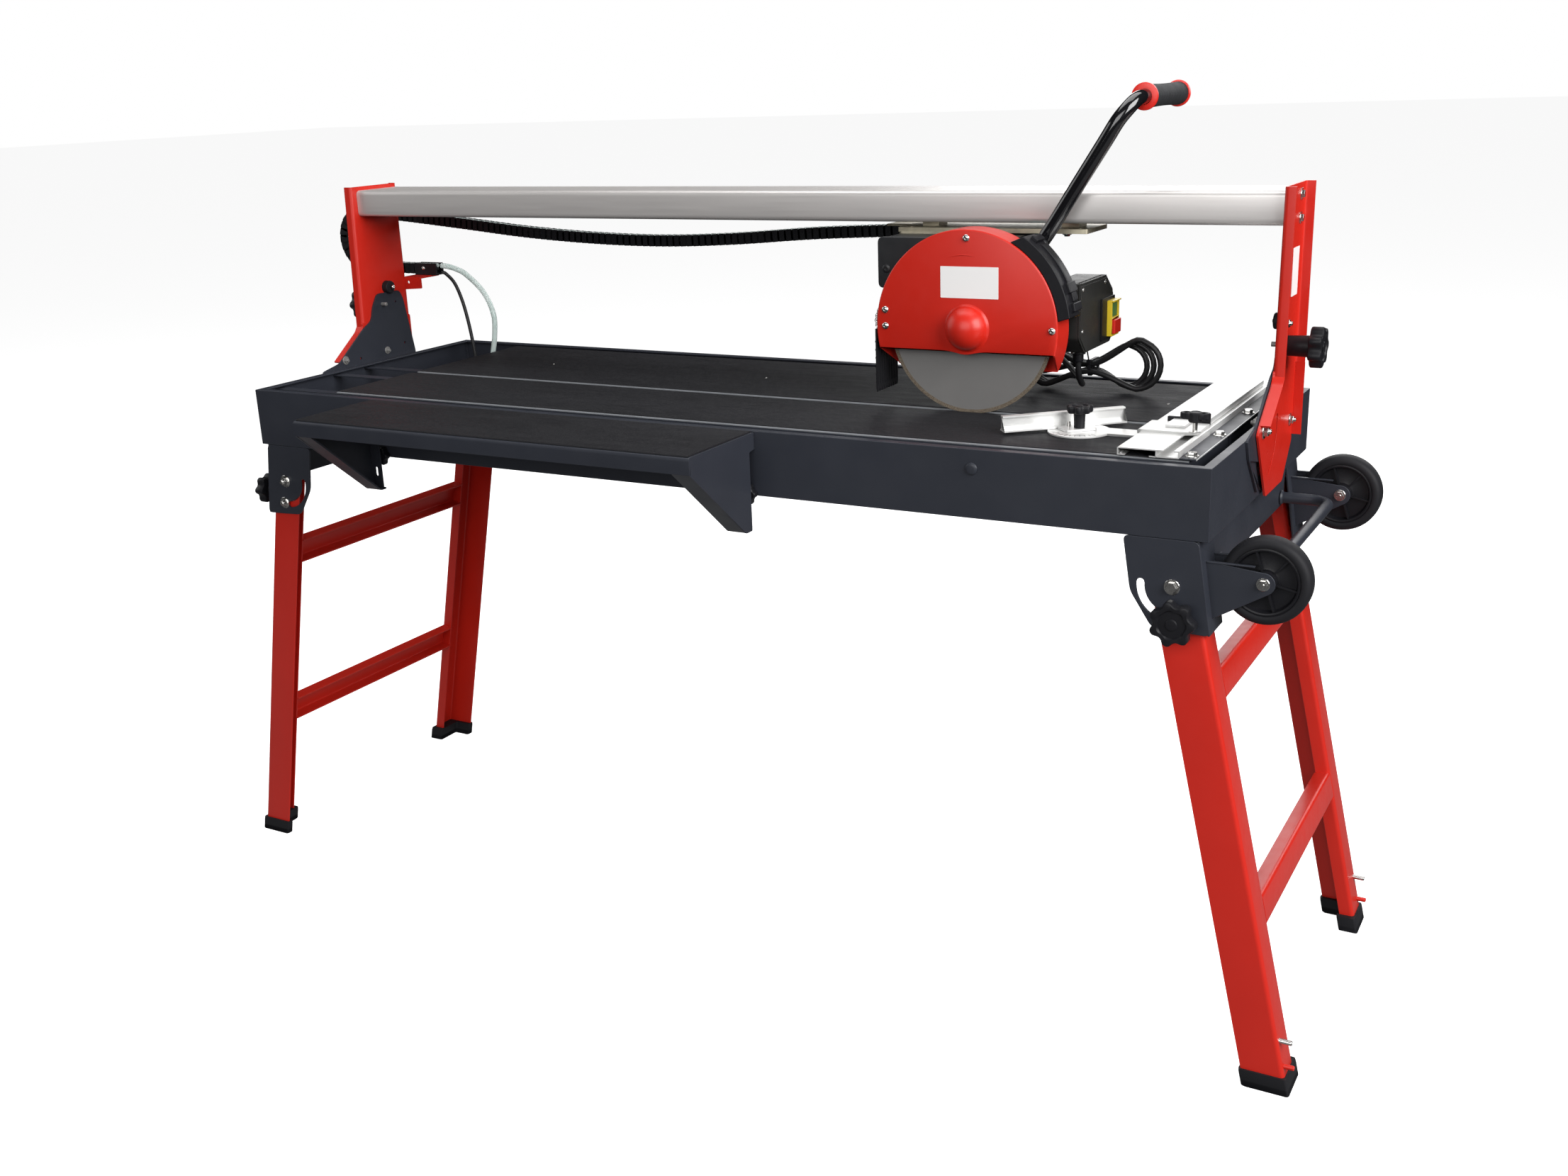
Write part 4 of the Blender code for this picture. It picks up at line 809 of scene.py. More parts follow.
def make_leg_mounts():
    top = 0.6937
    px, pz = LEG_PIVOT
    for side, name in ((-1, "left"), (1, "right")):
        def flip(points):
            return [(side * x, z) for x, z in points]
        cheek = rounded([(0.646, top), (0.735, top), (0.752, 0.582), (0.683, 0.585),
                         (0.656, 0.627)], 0.007, 4)
        slot = arc_slot((px, pz), 0.0375, 177.35, 264.35, 0.0048)
        cages = []
        for outer, inner, deep in ((0.0, 0.003, 0.058), (0.4905, 0.4875, 0.4325)):
            low, high = sorted((outer, inner))
            cages.append(plate(flip(cheek), "y", low, high, [flip(slot)]))
            strip = ribbon([(0.7337, top), (0.7505, 0.582)], 0.003, 0.001)
            low, high = sorted(((outer + inner) / 2, deep))
            cages.append(plate(flip(strip), "y", low, high))
        channel = ribbon([(0.7075, 0.6725), (0.7075, 0.6925), (0.7335, 0.6925),
                          (0.7335, 0.634)], 0.0025, 0.004)
        cages.append(plate(flip(channel), "y", 0.061, 0.430))
        stop = flip([(0.7065, 0.6725), (0.7065, top - 0.0004), (0.7345, top - 0.0004),
                     (0.7345, 0.6725)])
        for low, high in ((0.002, 0.0615), (0.4295, 0.4885)):
            cages.append(plate(stop, "y", low, high))
        if side > 0:
            for centre in (0.037, 0.467):
                nose = arc((0.805, 0.647), 0.0135, 98, -62, 10)
                outline = nose + [(0.7487, 0.598), (0.7384, 0.668)]
                for sign in (-1, 1):
                    low, high = sorted((centre + sign * 0.0170, centre + sign * 0.0195))
                    cages.append(plate(outline, "y", low, high))
                    cages.append(block((0.7400, low - 0.001, 0.6655), (0.795, high + 0.001,
                                                                      0.6675)))
        piece(name + "_leg_bracket", cages, M["grey_coat"], "base", "grey_coat",
              (name + "_leg_mount",), 0.0007)
        bolts = []
        for y, look in ((0.0, -1), (0.4905, 1)):
            bolts += hex_bolt((side * px, y, pz), "y", look, 0.0068, 0.0060, 0.0095,
                              0.0 if side > 0 else 0.004)
        lock = (side * (px + 0.0345 * math.sin(SPLAY)), 0.0, pz - 0.036 * math.cos(SPLAY))
        if side < 0:
            bolts += hex_bolt((lock[0], 0.0, lock[2]), "y", -1, 0.0065, 0.0050, 0.0090, 0.003)
        bolts += hex_bolt((lock[0], 0.4905, lock[2]), "y", 1, 0.0065, 0.0050, 0.0090, 0.003)
        if side > 0:
            for centre in (0.037, 0.467):
                for sign in (-1, 1):
                    bolts += hex_bolt((0.805, centre + sign * 0.0196, 0.647), "y", sign, 0.0055,
                                      0.0050, 0.0078, 0.0015)
        piece(name + "_leg_bolts", bolts, M["screw_steel"], "base", "steel")


def make_legs():
    px, pz = LEG_PIVOT
    half, t = 0.026, 0.0025
    for side, name in ((-1, "left"), (1, "right")):
        lean = (Matrix.Translation((side * px, 0, pz)) @ Matrix.Rotation(-side * SPLAY, 4, "Y"))
        low = -(pz - 0.014) / math.cos(SPLAY)
        cages = []
        for wall, turn in ((0.0034, 1), (0.4871, -1)):
            def at(x, y):
                return (side * x, wall + turn * y)
            line = [at(-half, t / 2), at(half - t / 2, t / 2), at(half - t / 2, 0.045 - t / 2),
                    at(half - 0.020, 0.045 - t / 2)]
            leg = plate(ribbon(line, t, 0.0045), "z", low, 0.018)
            cages.append(moved(leg, lean))
        for height in (0.505, 0.218):
            drop = (pz - height) / math.cos(SPLAY)
            line = [(half - 0.022, -drop - 0.0187), (half - 0.0015, -drop - 0.0187),
                    (half - 0.0015, -drop + 0.0187), (half - 0.022, -drop + 0.0187)]
            bar = plate(ribbon([(side * x, z) for x, z in line], t, 0.004), "y", 0.047, 0.4435)
            cages.append(moved(bar, lean))
        piece(name + "_leg_channels", cages, M["red_coat"], name + "_legs", "red_coat",
              (name + "_leg_frame",), 0.0006)
        middle = px + pz * math.tan(SPLAY)
        for label, wall, turn in (("front", 0.0004, 1), ("rear", 0.4901, -1)):
            shape = [(-0.0295, 0), (0.0295, 0), (0.0295, 0.056), (0.003, 0.056), (0.003, 0.011),
                     (-0.0295, 0.011)]
            rise = math.tan(SPLAY)
            rings = []
            for z, grow in ((0.0, 0.93), (0.0015, 1.0), (0.019, 1.0), (0.0235, 0.985)):
                ring = []
                for x, y in rounded(shape, 0.0035, 4):
                    cx, cy = (x - 0.010) * grow + 0.010, (y - 0.012) * grow + 0.012
                    ring.append((side * (middle + cx - rise * z), wall + turn * cy, z))
                rings.append(ring)
            piece("%s_%s_foot_cup" % (name, label), lofted(rings), M["rubber"],
                  name + "_legs", "rubber", ("%s_%s_foot" % (name, label),))
    studs = []
    for y in (0.012, 0.476):
        for z, long in ((0.070, 0.016), (0.036, 0.013)):
            x = px + (pz - z) * math.tan(SPLAY) + half / math.cos(SPLAY) - 0.0005
            stud = turned([(0, -0.002), (0.0032, -0.002), (0.0032, long - 0.001),
                           (0.0024, long), (0, long)], (x, y, z), "x", 18)
            studs.append(stud)
    piece("hook_studs", [studs[1], studs[3]], M["red_coat"], "right_legs", "red_coat",
          extra=[(studs[0], M["screw_steel"]), (studs[2], M["screw_steel"])])


def make_wheels():
    for centre, name in ((0.037, "front"), (0.467, "rear")):
        half = 0.0148
        tyre = [(0.0520, 0.0), (0.0518, 0.0060), (0.0508, 0.0100), (0.0488, 0.0128),
                (0.0462, 0.0140), (0.0430, 0.0142), (0.0410, 0.0136), (0.0402, 0.0120)]
        tyre = tyre + [(0.0396, 0.0)] + [(r, -h) for r, h in tyre[::-1]][:-1]
        hub = [(0.0402, 0.0122), (0.0385, 0.0128), (0.0368, 0.0122), (0.0362, 0.0080),
               (0.0345, 0.0055), (0.0160, 0.0050), (0.0140, 0.0060), (0.0132, half),
               (0.0052, half), (0.0052, -half), (0.0132, -half), (0.0140, -0.0060),
               (0.0160, -0.0050), (0.0345, -0.0055), (0.0362, -0.0080), (0.0368, -0.0122),
               (0.0385, -0.0128), (0.0402, -0.0122)]
        ribs = []
        for n in range(6):
            turn = Matrix.Translation((0.805, centre, 0.647)) @ Matrix.Rotation(
                math.radians(60 * n + 12), 4, "Y")
            ribs.append(moved(block((0.012, -0.0105, -0.0011), (0.0368, 0.0105, 0.0011)), turn))
        piece(name + "_wheel_tyre", turned(tyre, (0.805, centre, 0.647), "y", 72),
              M["rubber"], name + "_wheel", "black_plastic", (name + "_wheel",))
        piece(name + "_wheel_hub", [turned(hub, (0.805, centre, 0.647), "y", 72)] + ribs,
              M["black_plastic"], name + "_wheel", "black_plastic")


def make_carry_handle():
    reach, low, high, bend = 0.801, 0.094, 0.410, 0.026
    path = [(0.7368, low, 0.647), (0.748, low, 0.647)]
    for centre, first, last in ((low + bend, -90, 0), (high - bend, 0, 90)):
        path += [(x, y, 0.647) for x, y in arc((reach - bend, centre), bend, first, last, 14)]
    path += [(0.748, high, 0.647), (0.7368, high, 0.647)]
    path = [Vector(p) for p in path]
    welds = [turned([(0.0070, 0.0), (0.0098, 0.0), (0.0092, 0.0014), (0.0078, 0.0028),
                     (0.0070, 0.0030)], (0.7362, y, 0.647), "x", 28) for y in (low, high)]
    piece("carry_tube", [swept(path, 0.0075, 24, Vector((0, 0, 1)))] + welds, M["grey_coat"],
          "base", "grey_coat", ("carry_handle",))


def make_rail():
    """Open hollow box, then a T-slot channel whose top lips stop short of each other."""
    y0, y1 = 0.028, 0.478
    z0, z1 = 0.7811, 0.7903
    t = 0.0014
    hollow = [(0.6365, z0 + 0.0008), (0.6282, z0 + 0.0008), (0.6282, z1 - 0.0007),
              (0.6735, z1 - 0.0007), (0.6735, z0 + 0.0008), (0.6655, z0 + 0.0008)]
    tee = [(0.6735, z0 + 0.0010), (0.7000, z0 + 0.0010), (0.7000, z1 - 0.0007),
           (0.6945, z1 - 0.0007)]
    cages = [plate(ribbon(hollow, t, 0.0004), "y", y0, y1),
             plate(ribbon(tee, t, 0.0004), "y", y0, y1),
             block((0.6740, y0, z1 - 0.0014), (0.6815, y1, z1)),
             block((0.6310, y0, z0 + 0.0012), (0.6325, y1, z0 + 0.0032)),
             block((0.7203, y0, z0 - 0.0001), (0.7210, y1, z0 + 0.0013))]
    flange = block((0.6995, y0 + 0.0002, z0 - 0.0001), (0.7203, y1 - 0.0002, z0 + 0.0013))
    piece("rail_profile", cages, M["rail_aluminium"], "base", "aluminium", ("end_rail",),
          0.0002, extra=[(flange, M["grey_coat"])])
    bolts = []
    for y in (0.042, 0.161, 0.300, 0.430):
        bolts += hex_bolt((0.7120, y, z0 + 0.0013), "z", 1, 0.0058, 0.0052, 0.0080)
    piece("rail_bolts", bolts, M["screw_steel"], "base", "steel")


# ---------------------------------------------------------------- bridge

def make_columns():
    for side, name in ((-1, "left"), (1, "right")):
        def out(x):
            return side * x
        line = [(out(0.7645), 0.2621), (out(0.7515), 0.2621), (out(0.7515), 0.3675),
                (out(0.7645), 0.3675)]
        upper = plate(ribbon(line, 0.003, 0.0045), "z", 0.8395, 1.0668)
        for vert in upper.verts:
            if vert.co.y < 0.31:
                vert.co.y -= 0.0078 * (1.0668 - vert.co.z) / 0.2273
        lower = rounded([(0.2530, 0.846), (0.369, 0.846), (0.369, 0.737), (0.327, 0.691),
                         (0.238, 0.691), (0.182, 0.780), (0.191, 0.789), (0.2465, 0.830),
                         (0.2527, 0.840)], 0.004, 4)
        slot = arc_slot((0.208, 0.7806), 0.072, -57, 4, 0.0036)
        low, high = sorted((out(0.7501), out(0.7529)))
        cages = [upper, plate(lower, "x", low, high, [slot, circle((0.236, 0.748), 0.0020, 12)])]
        low, high = sorted((out(0.7515), out(0.7648)))
        cages.append(block((low, 0.3660, 0.745), (high, 0.3690, 0.8394)))
        slant = ribbon([(0.2543, 0.8394), (0.2478, 0.8300), (0.1930, 0.7895)], 0.003, 0.004)
        cages.append(plate(slant, "x", low, high))
        if side < 0:
            tab = rounded([(-0.7515, 0.888), (-0.715, 0.8905), (-0.715, 0.9095),
                           (-0.7515, 0.9095)], 0.0015, 2)
            cages.append(plate(tab, "y", 0.3660, 0.3685, [circle((-0.7430, 0.9005), 0.0026)]))
            cages.append(block((-0.7515, 0.3675, 0.907), (-0.715, 0.414, 0.9100)))
        piece(name + "_column_folded", cages, M["red_coat"], "bridge", "red_coat",
              (name + "_column",), 0.0007)
        bolts = []
        sign = side
        face = out(0.7531)
        for y, z in ((0.276, 1.0525), (0.343, 1.0525), (0.268, 1.0290), (0.343, 1.0235)):
            bolts += hex_bolt((face, max(y, 0.281), z), "x", sign, 0.0050, 0.0042, 0.0076, 0.0)
        bolts += hex_bolt((face, 0.297, 0.899), "x", sign, 0.0055, 0.0050, 0.0085, 0.003)
        bolts += hex_bolt((face, 0.352, 0.767), "x", sign, 0.0055, 0.0050, 0.0085, 0.003)
        bolts += hex_bolt((face, 0.208, 0.7806), "x", sign, 0.0062, 0.0065, 0.0095, 0.003)
        piece(name + "_column_bolts", bolts, M["screw_steel"], "bridge", "steel")
    label = rounded([(0.3150, 0.929), (0.3470, 0.929), (0.3470, 0.989), (0.3150, 0.989)], 0.001, 2)
    piece("blank_plate", plate(label, "x", 0.7531, 0.7536), M["label"], "bridge", "red_coat")


def make_beam():
    low = BEAM_TOP - 0.0384
    line = [(0.301, low), (0.2735, low), (0.2735, BEAM_TOP), (0.3685, BEAM_TOP),
            (0.3685, low), (0.341, low)]
    beam = plate(ribbon(line, 0.003, 0.0060), "x", -0.7497, 0.7497)
    piece("beam_profile", beam, M["aluminium"], "bridge", "aluminium", ("beam",), 0.0003)


def make_chain():
    """Cable chain of separate links, with the hose and a cable lying in it."""
    y = 0.402
    loop = [(x, y, z) for x, z in arc((-0.861, 0.9695), 0.047, 98, 264, 9)]
    route = [(0.178, y, 0.996), (0.04, y, 0.990), (-0.10, y, 0.980), (-0.229, y, 0.975),
             (-0.36, y, 0.977), (-0.50, y, 0.985), (-0.64, y, 0.998), (-0.776, y, 1.010)]
    route += loop + [(-0.82, y, 0.9212), (-0.78, y, 0.9205), (-0.740, y, 0.9205),
                     (-0.702, y, 0.9205)]
    path = smooth_route(route, 0.0118)
    links = []
    for i in range(len(path) - 1):
        here, there = path[i], path[i + 1]
        ahead = (there - here).normalized()
        across = Vector((0, 1, 0))
        over = across.cross(ahead).normalized()
        turn = Matrix((ahead, across, over)).transposed().to_4x4()
        place = Matrix.Translation((here + there) / 2) @ turn
        long = (there - here).length
        for sign in (-1, 1):
            side_plate = [(-long / 2 - 0.0022, -0.0078), (long / 2 - 0.0018, -0.0090),
                          (long / 2 + 0.0012, -0.0060), (long / 2 + 0.0012, 0.0060),
                          (long / 2 - 0.0018, 0.0090), (-long / 2 - 0.0022, 0.0078)]
            low, high = sorted((sign * 0.0068, sign * 0.0090))
            links.append(moved(plate(rounded(side_plate, 0.002, 2), "y", low, high), place))
        for level in (-0.0086, 0.0068):
            links.append(moved(block((-0.0042, -0.0085, level), (0.0042, 0.0085, level + 0.0018)),
                               place))
    chain = piece("cable_chain", links, M["black_plastic"], None, "black_plastic",
                  ("drag_chain",), sharp=30)
    inner = [swept([p + Vector((0, -0.0024, 0.0056)) for p in path], 0.0036, 10),
             swept([p + Vector((0, -0.0034, 0.001)) for p in path], 0.0026, 8)]
    line = piece("chain_hose", inner[0], M["clear_hose"], None, "clear_hose")
    wire = piece("chain_cable", inner[1], M["cable_rubber"], None, "rubber")
    for part in (chain, line, wire):
        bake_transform(part)
    end = [block((-0.7500, 0.3925, 0.9110), (-0.7010, 0.3945, 0.9300)),
           block((-0.7500, 0.4095, 0.9110), (-0.7010, 0.4115, 0.9300)),
           block((-0.7500, 0.3925, 0.9101), (-0.7010, 0.4115, 0.9118))]
    piece("chain_end", end, M["black_plastic"], "bridge", "black_plastic", bevel=0.0008)
    piece("chain_end_screw", button_head((-0.7300, 0.3925, 0.9215), "y", -1, 0.0032, 0.0016),
          M["screw_steel"], "bridge", "steel")


def make_star_knobs():
    """Every lobed clamping knob that stands on its own body, except the protractor's."""
    lock_x = LEG_PIVOT[0] + 0.038 * math.sin(SPLAY)
    lock_z = LEG_PIVOT[1] - 0.038 * math.cos(SPLAY)
    knobs = (("right_tilt", (0.7535, 0.295, 0.872), "x", 1, 0.0260, 0.0165, 0.0122, 0.0320, 7),
             ("left_tilt", (-0.7535, 0.295, 0.872), "x", -1, 0.0260, 0.0165, 0.0122, 0.0225, 7),
             ("left_leg", (-0.7530, 0.030, 0.612), "x", -1, 0.0240, 0.0155, 0.0090, 0.0175, 7),
             ("right_leg", (lock_x, -0.0005, lock_z), "y", -1, 0.0275, 0.0160, 0.0110, 0.0115,
              7),
             ("left_side", (-0.492, -0.0142, 0.697), "y", 1, 0.0150, 0.0090, 0.0055, 0.0035, 6),
             ("right_side", (0.143, -0.0142, 0.697), "y", 1, 0.0150, 0.0090, 0.0055, 0.0035, 6))
    for name, *shape in knobs:
        piece(name + "_star", star_knob(*shape), M["black_plastic"], name + "_knob",
              "black_plastic", (name + "_knob",))


# ---------------------------------------------------------------- cutting head

def make_carriage():
    low = 1.006
    top = plate(rounded([(0.230, 0.280), (0.500, 0.280), (0.500, 0.362), (0.230, 0.362)],
                        0.004, 3), "z", low, low + 0.006,
                [circle((0.247, 0.290), 0.0028), circle((0.488, 0.290), 0.0028)])
    posts = [block((x - 0.012, 0.306, low + 0.005), (x + 0.012, 0.336, 1.0457))
             for x in (0.268, 0.468)]
    arm = ribbon([(0.180, low + 0.0022), (0.262, low + 0.0022)], 0.003, 0.001)
    arm = plate(arm, "y", 0.350, 0.412)
    lips = [block((0.236, 0.2785, 1.0000), (0.356, 0.2805, low + 0.001)),
            block((0.180, 0.3920, 0.9850), (0.210, 0.3940, low + 0.002))]
    piece("carriage_zinc", [top, arm] + posts + lips, M["warm_zinc"], "carriage", "zinc",
          ("carriage_plate",), 0.0006)
    bolts = []
    for x, y in ((0.262, 0.288), (0.330, 0.288), (0.470, 0.288)):
        bolts += hex_bolt((x, y, 1.0058), "z", -1, 0.0040, 0.0036, 0.0060)
    piece("carriage_bolts", bolts, M["screw_steel"], "carriage", "steel")
    for x, name in ((0.268, "left_roller"), (0.468, "right_roller")):
        spool = [(0, 0.361), (0.0138, 0.361), (0.0150, 0.3598), (0.0150, 0.3462), (0.0140, 0.345),
                 (0.004, 0.345), (0.004, 0.297), (0.0140, 0.297), (0.0150, 0.2958),
                 (0.0150, 0.2822), (0.0138, 0.281), (0, 0.281)]
        piece(name + "_spool", turned(spool, (x, 0, 1.0377), "y", 40), M["screw_steel"], name,
              "steel", (name + "_axle",))


def make_head_plate():
    outline = rounded([(0.2235, 1.004), (0.2235, 0.936), (0.300, 0.936), (0.318, 0.868),
                       (0.345, 0.850), (0.440, 0.850), (0.470, 0.868), (0.478, 0.930),
                       (0.462, 1.004)], 0.008, 5)
    cages = [plate(outline, "y", 0.2303, 0.2385, [circle((0.368, 0.8926), 0.016, 32)]),
             block((0.2350, 0.2375, 0.9995), (0.4150, 0.3120, 1.0040)),
             block((0.4628, 0.2375, 0.8800), (0.4745, 0.2445, 0.9450))]
    piece("head_plate", cages, M["black_coat"], "carriage", "black_coat", ("head_mount",),
          0.0016)
    screws = [button_head((0.2362, 0.2302, 0.9620), "y", -1, 0.0060, 0.0016)]
    piece("head_plate_screws", screws, M["black_coat"], "carriage", "black_coat", bevel=0.0002)


def make_motor():
    cx, cz = 0.378, 0.931
    can = [(0, 0.3780), (0.044, 0.3780), (0.052, 0.3765), (0.0565, 0.3720), (0.0580, 0.3660),
           (0.0580, 0.3460), (0.0592, 0.3445), (0.0592, 0.2780), (0.0605, 0.2765),
           (0.0605, 0.2660), (0.0590, 0.2630), (0.040, 0.2620), (0, 0.2620)]
    cages = [turned(can, (cx, 0, cz), "y", 64),
             turned([(0.0130, 0.2390), (0.026, 0.2390), (0.026, 0.2635), (0.0130, 0.2635)],
                    (0.368, 0, 0.8926), "y", 40),
             block((cx - 0.030, 0.312, cz + 0.055), (cx + 0.030, 0.360, 1.0055))]
    for n in range(40):
        angle = math.radians(9 * n)
        if 55 < (9 * n) % 360 < 125:
            continue
        turn = Matrix.Translation((cx, 0, cz)) @ Matrix.Rotation(-angle, 4, "Y")
        cages.append(moved(block((0.0578, 0.2820, -0.0008), (0.0604, 0.3430, 0.0008)), turn))
    vents = []
    for n in range(5):
        vents.append(turned([(0.014 + 0.007 * n, 0.3776), (0.0170 + 0.007 * n, 0.3776),
                             (0.0170 + 0.007 * n, 0.3786), (0.014 + 0.007 * n, 0.3786)],
                            (cx, 0, cz), "y", 48))
    piece("motor_can", cages, M["teal_coat"], "carriage", "teal_coat", ("motor",), 0.0004,
          extra=[(v, M["black_plastic"]) for v in vents])


def guard_outline(radius, bottom, steps=72):
    dip = math.degrees(math.asin((bottom - BLADE[2]) / radius))
    return arc((BLADE[0], BLADE[2]), radius, dip, 180 - dip, steps)


def make_guard():
    cx, _, cz = BLADE
    front, back, r = 0.188, 0.230, 0.127
    def face(radius, y, bottom):
        ring = []
        dip = math.degrees(math.asin((bottom - cz) / radius))
        points = arc((cx, cz), radius, dip, 180 - dip, 96)
        ring += [(x, y, z) for x, z in points]
        left, right = points[-1], points[0]
        for n in range(1, 48):
            t = n / 48
            x = left[0] + (right[0] - left[0]) * t
            sag = 0.0045 * math.exp(-((x - cx) / 0.017) ** 2)
            ring.append((x, y, bottom - sag))
        return ring
    shell = lofted([face(r - 0.0022, front, 0.8640), face(r - 0.0010, front + 0.0003, 0.8633),
                    face(r - 0.0002, front + 0.0011, 0.8630), face(r, front + 0.0022, 0.8630)])
    rim_outer = arc((cx, cz), r, -27, 207, 110)
    rim = rim_outer + arc((cx, cz), r - 0.0022, 207, -27, 110)
    band = plate(rim, "y", front + 0.0020, back)
    for vert in band.verts:
        floor = 0.8630 - 0.0280 * (vert.co.y - front) / (back - front)
        if vert.co.z < floor:
            angle = math.atan2(vert.co.z - cz, vert.co.x - cx)
            reach = math.hypot(vert.co.x - cx, vert.co.z - cz)
            across = math.sqrt(reach ** 2 - (floor - cz) ** 2)
            vert.co.x = cx + math.copysign(across, math.cos(angle))
            vert.co.z = floor
    rear = plate(guard_outline(r, 0.8350), "y", back - 0.0022, back,
                 [circle((cx, cz), 0.0165, 32)])
    dome = []
    for step in range(15):
        angle = math.radians(90 * step / 14)
        dome.append((0.0285 * math.cos(angle), -0.0250 * math.sin(angle)))
    dome = [(0.0325, 0.0010), (0.0315, -0.0002), (0.0295, -0.0012)] + dome[1:]
    ball = turned(dome + [(0, 0.0010)], (0, 0, 0), "z", 64)
    ball = moved(ball, Matrix.Translation((0.3712, front + 0.0003, cz + 0.0008))
                 @ facing("y", 1))
    crease = swept([Vector((x, front + 0.00025, z)) for x, z in
                    arc((0.3665, 0.9230), 0.0640, 112, 71, 24)],
                   [0.0001 + 0.0007 * math.sin(math.pi * n / 24) for n in range(25)], 12)
    piece("guard_shell", [shell, band, rear, ball, crease], M["red_coat"], "carriage",
          "red_coat", ("blade_guard",), 0.0)
    label = rounded([(0.3345, 0.9320), (0.4150, 0.9320), (0.4150, 0.9725), (0.3345, 0.9725)],
                    0.0008, 2)
    piece("guard_blank_label", plate(label, "y", front - 0.0003, front + 0.0001), M["label"],
          "carriage", "red_coat")
    spots = ((0.3704, 1.0085), (0.4875, 0.8940), (0.2540, 0.9135), (0.2540, 0.8920))
    piece("guard_screws", [button_head((x, front, z), "y", -1, 0.0050, 0.0030)
                           for x, z in spots], M["screw_steel"], "carriage", "steel")
    rings = []
    for n in range(11):
        t = n / 10
        centre = Vector((0.2425 - 0.006 * math.sin(math.pi * t), front + 0.004 + 0.010 * t,
                         0.9110 - 0.034 * t))
        bend = [centre + Vector((0.0022 * math.cos(a), 0.0, 0.0034 * math.sin(a)))
                for a in [2 * math.pi * k / 12 for k in range(13)]]
        link = swept(bend, 0.0005, 6, Vector((0, 1, 0)))
        twist = (Matrix.Translation(centre) @ Matrix.Rotation(math.pi / 2 * (n % 2), 4, "Z")
                 @ Matrix.Translation(-centre))
        rings.append(moved(link, twist))
    piece("guard_keeper_chain", rings, M["screw_steel"], "carriage", "steel")


def make_cover():
    cx, _, cz = BLADE
    outline = arc((cx, cz), 0.1273, 61, 6, 40)
    outline += arc((cx + 0.003, cz + 0.001), 0.1402, 7, 57, 40)
    body = plate(outline, "y", 0.1895, 0.2299)
    ridge = plate(arc((cx, cz), 0.1400, 50, 14, 26) + arc((cx + 0.002, cz), 0.1445, 15, 48, 26),
                  "y", 0.2080, 0.2250)
    blocks = []
    for angle, wide in ((52, 0.010), (22, 0.014), (12, 0.011)):
        a = math.radians(angle)
        turn = Matrix.Translation((cx, 0, cz)) @ Matrix.Rotation(-a, 4, "Y")
        blocks.append(moved(block((0.1385, 0.2020, -wide / 2), (0.1475, 0.2290, wide / 2)), turn))
    piece("spray_cover", [body, ridge] + blocks, M["black_plastic"], "carriage",
          "black_plastic", ("water_cover",), 0.0016, 3)
    nozzle = [turned([(0, 0), (0.0042, 0), (0.0042, 0.0040), (0.0050, 0.0042),
                      (0.0050, 0.0070), (0.0036, 0.0076), (0.0036, 0.0105), (0.0028, 0.0112),
                      (0, 0.0112)], (0.4950, 0.2380, 0.9105), "x", 24)]
    piece("hose_nozzle", nozzle, M["brass"], "carriage", "zinc", bevel=0.0002)


def make_flap():
    (x0, y0, z0), (x1, y1, z1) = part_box("splash_flap")
    x0, x1, y0, y1 = x0 - HOME.x, x1 - HOME.x, y0 - HOME.y, y1 - HOME.y
    outline = [(y0, z1), (y0, z0 + 0.006)]
    teeth = 9
    for n in range(teeth):
        y = y0 + (y1 - y0) * (n + 0.5) / teeth
        outline += [(y - 0.0024, z0), (y + 0.0024, z0 + 0.0015), (y + 0.0034, z0 + 0.0070)]
    outline += [(y1, z0 + 0.006), (y1, z1)]
    sheet = plate(outline, "x", x0 + 0.0010, x1 - 0.0005)
    ribs = [block((x1 - 0.0008, y0 + (y1 - y0) * (n + 0.5) / teeth - 0.0012, z0 + 0.010),
                  (x1, y0 + (y1 - y0) * (n + 0.5) / teeth + 0.0012, z1 - 0.018))
            for n in range(teeth)]
    ribs += [block((x0, y0 + 0.001, z0 + 0.012 + 0.011 * n), (x0 + 0.0012, y1 - 0.001,
                                                             z0 + 0.0145 + 0.011 * n))
             for n in range(6)]
    piece("ribbed_flap", [sheet] + ribs, M["rubber"], "carriage", "rubber", ("splash_flap",),
          0.0003)


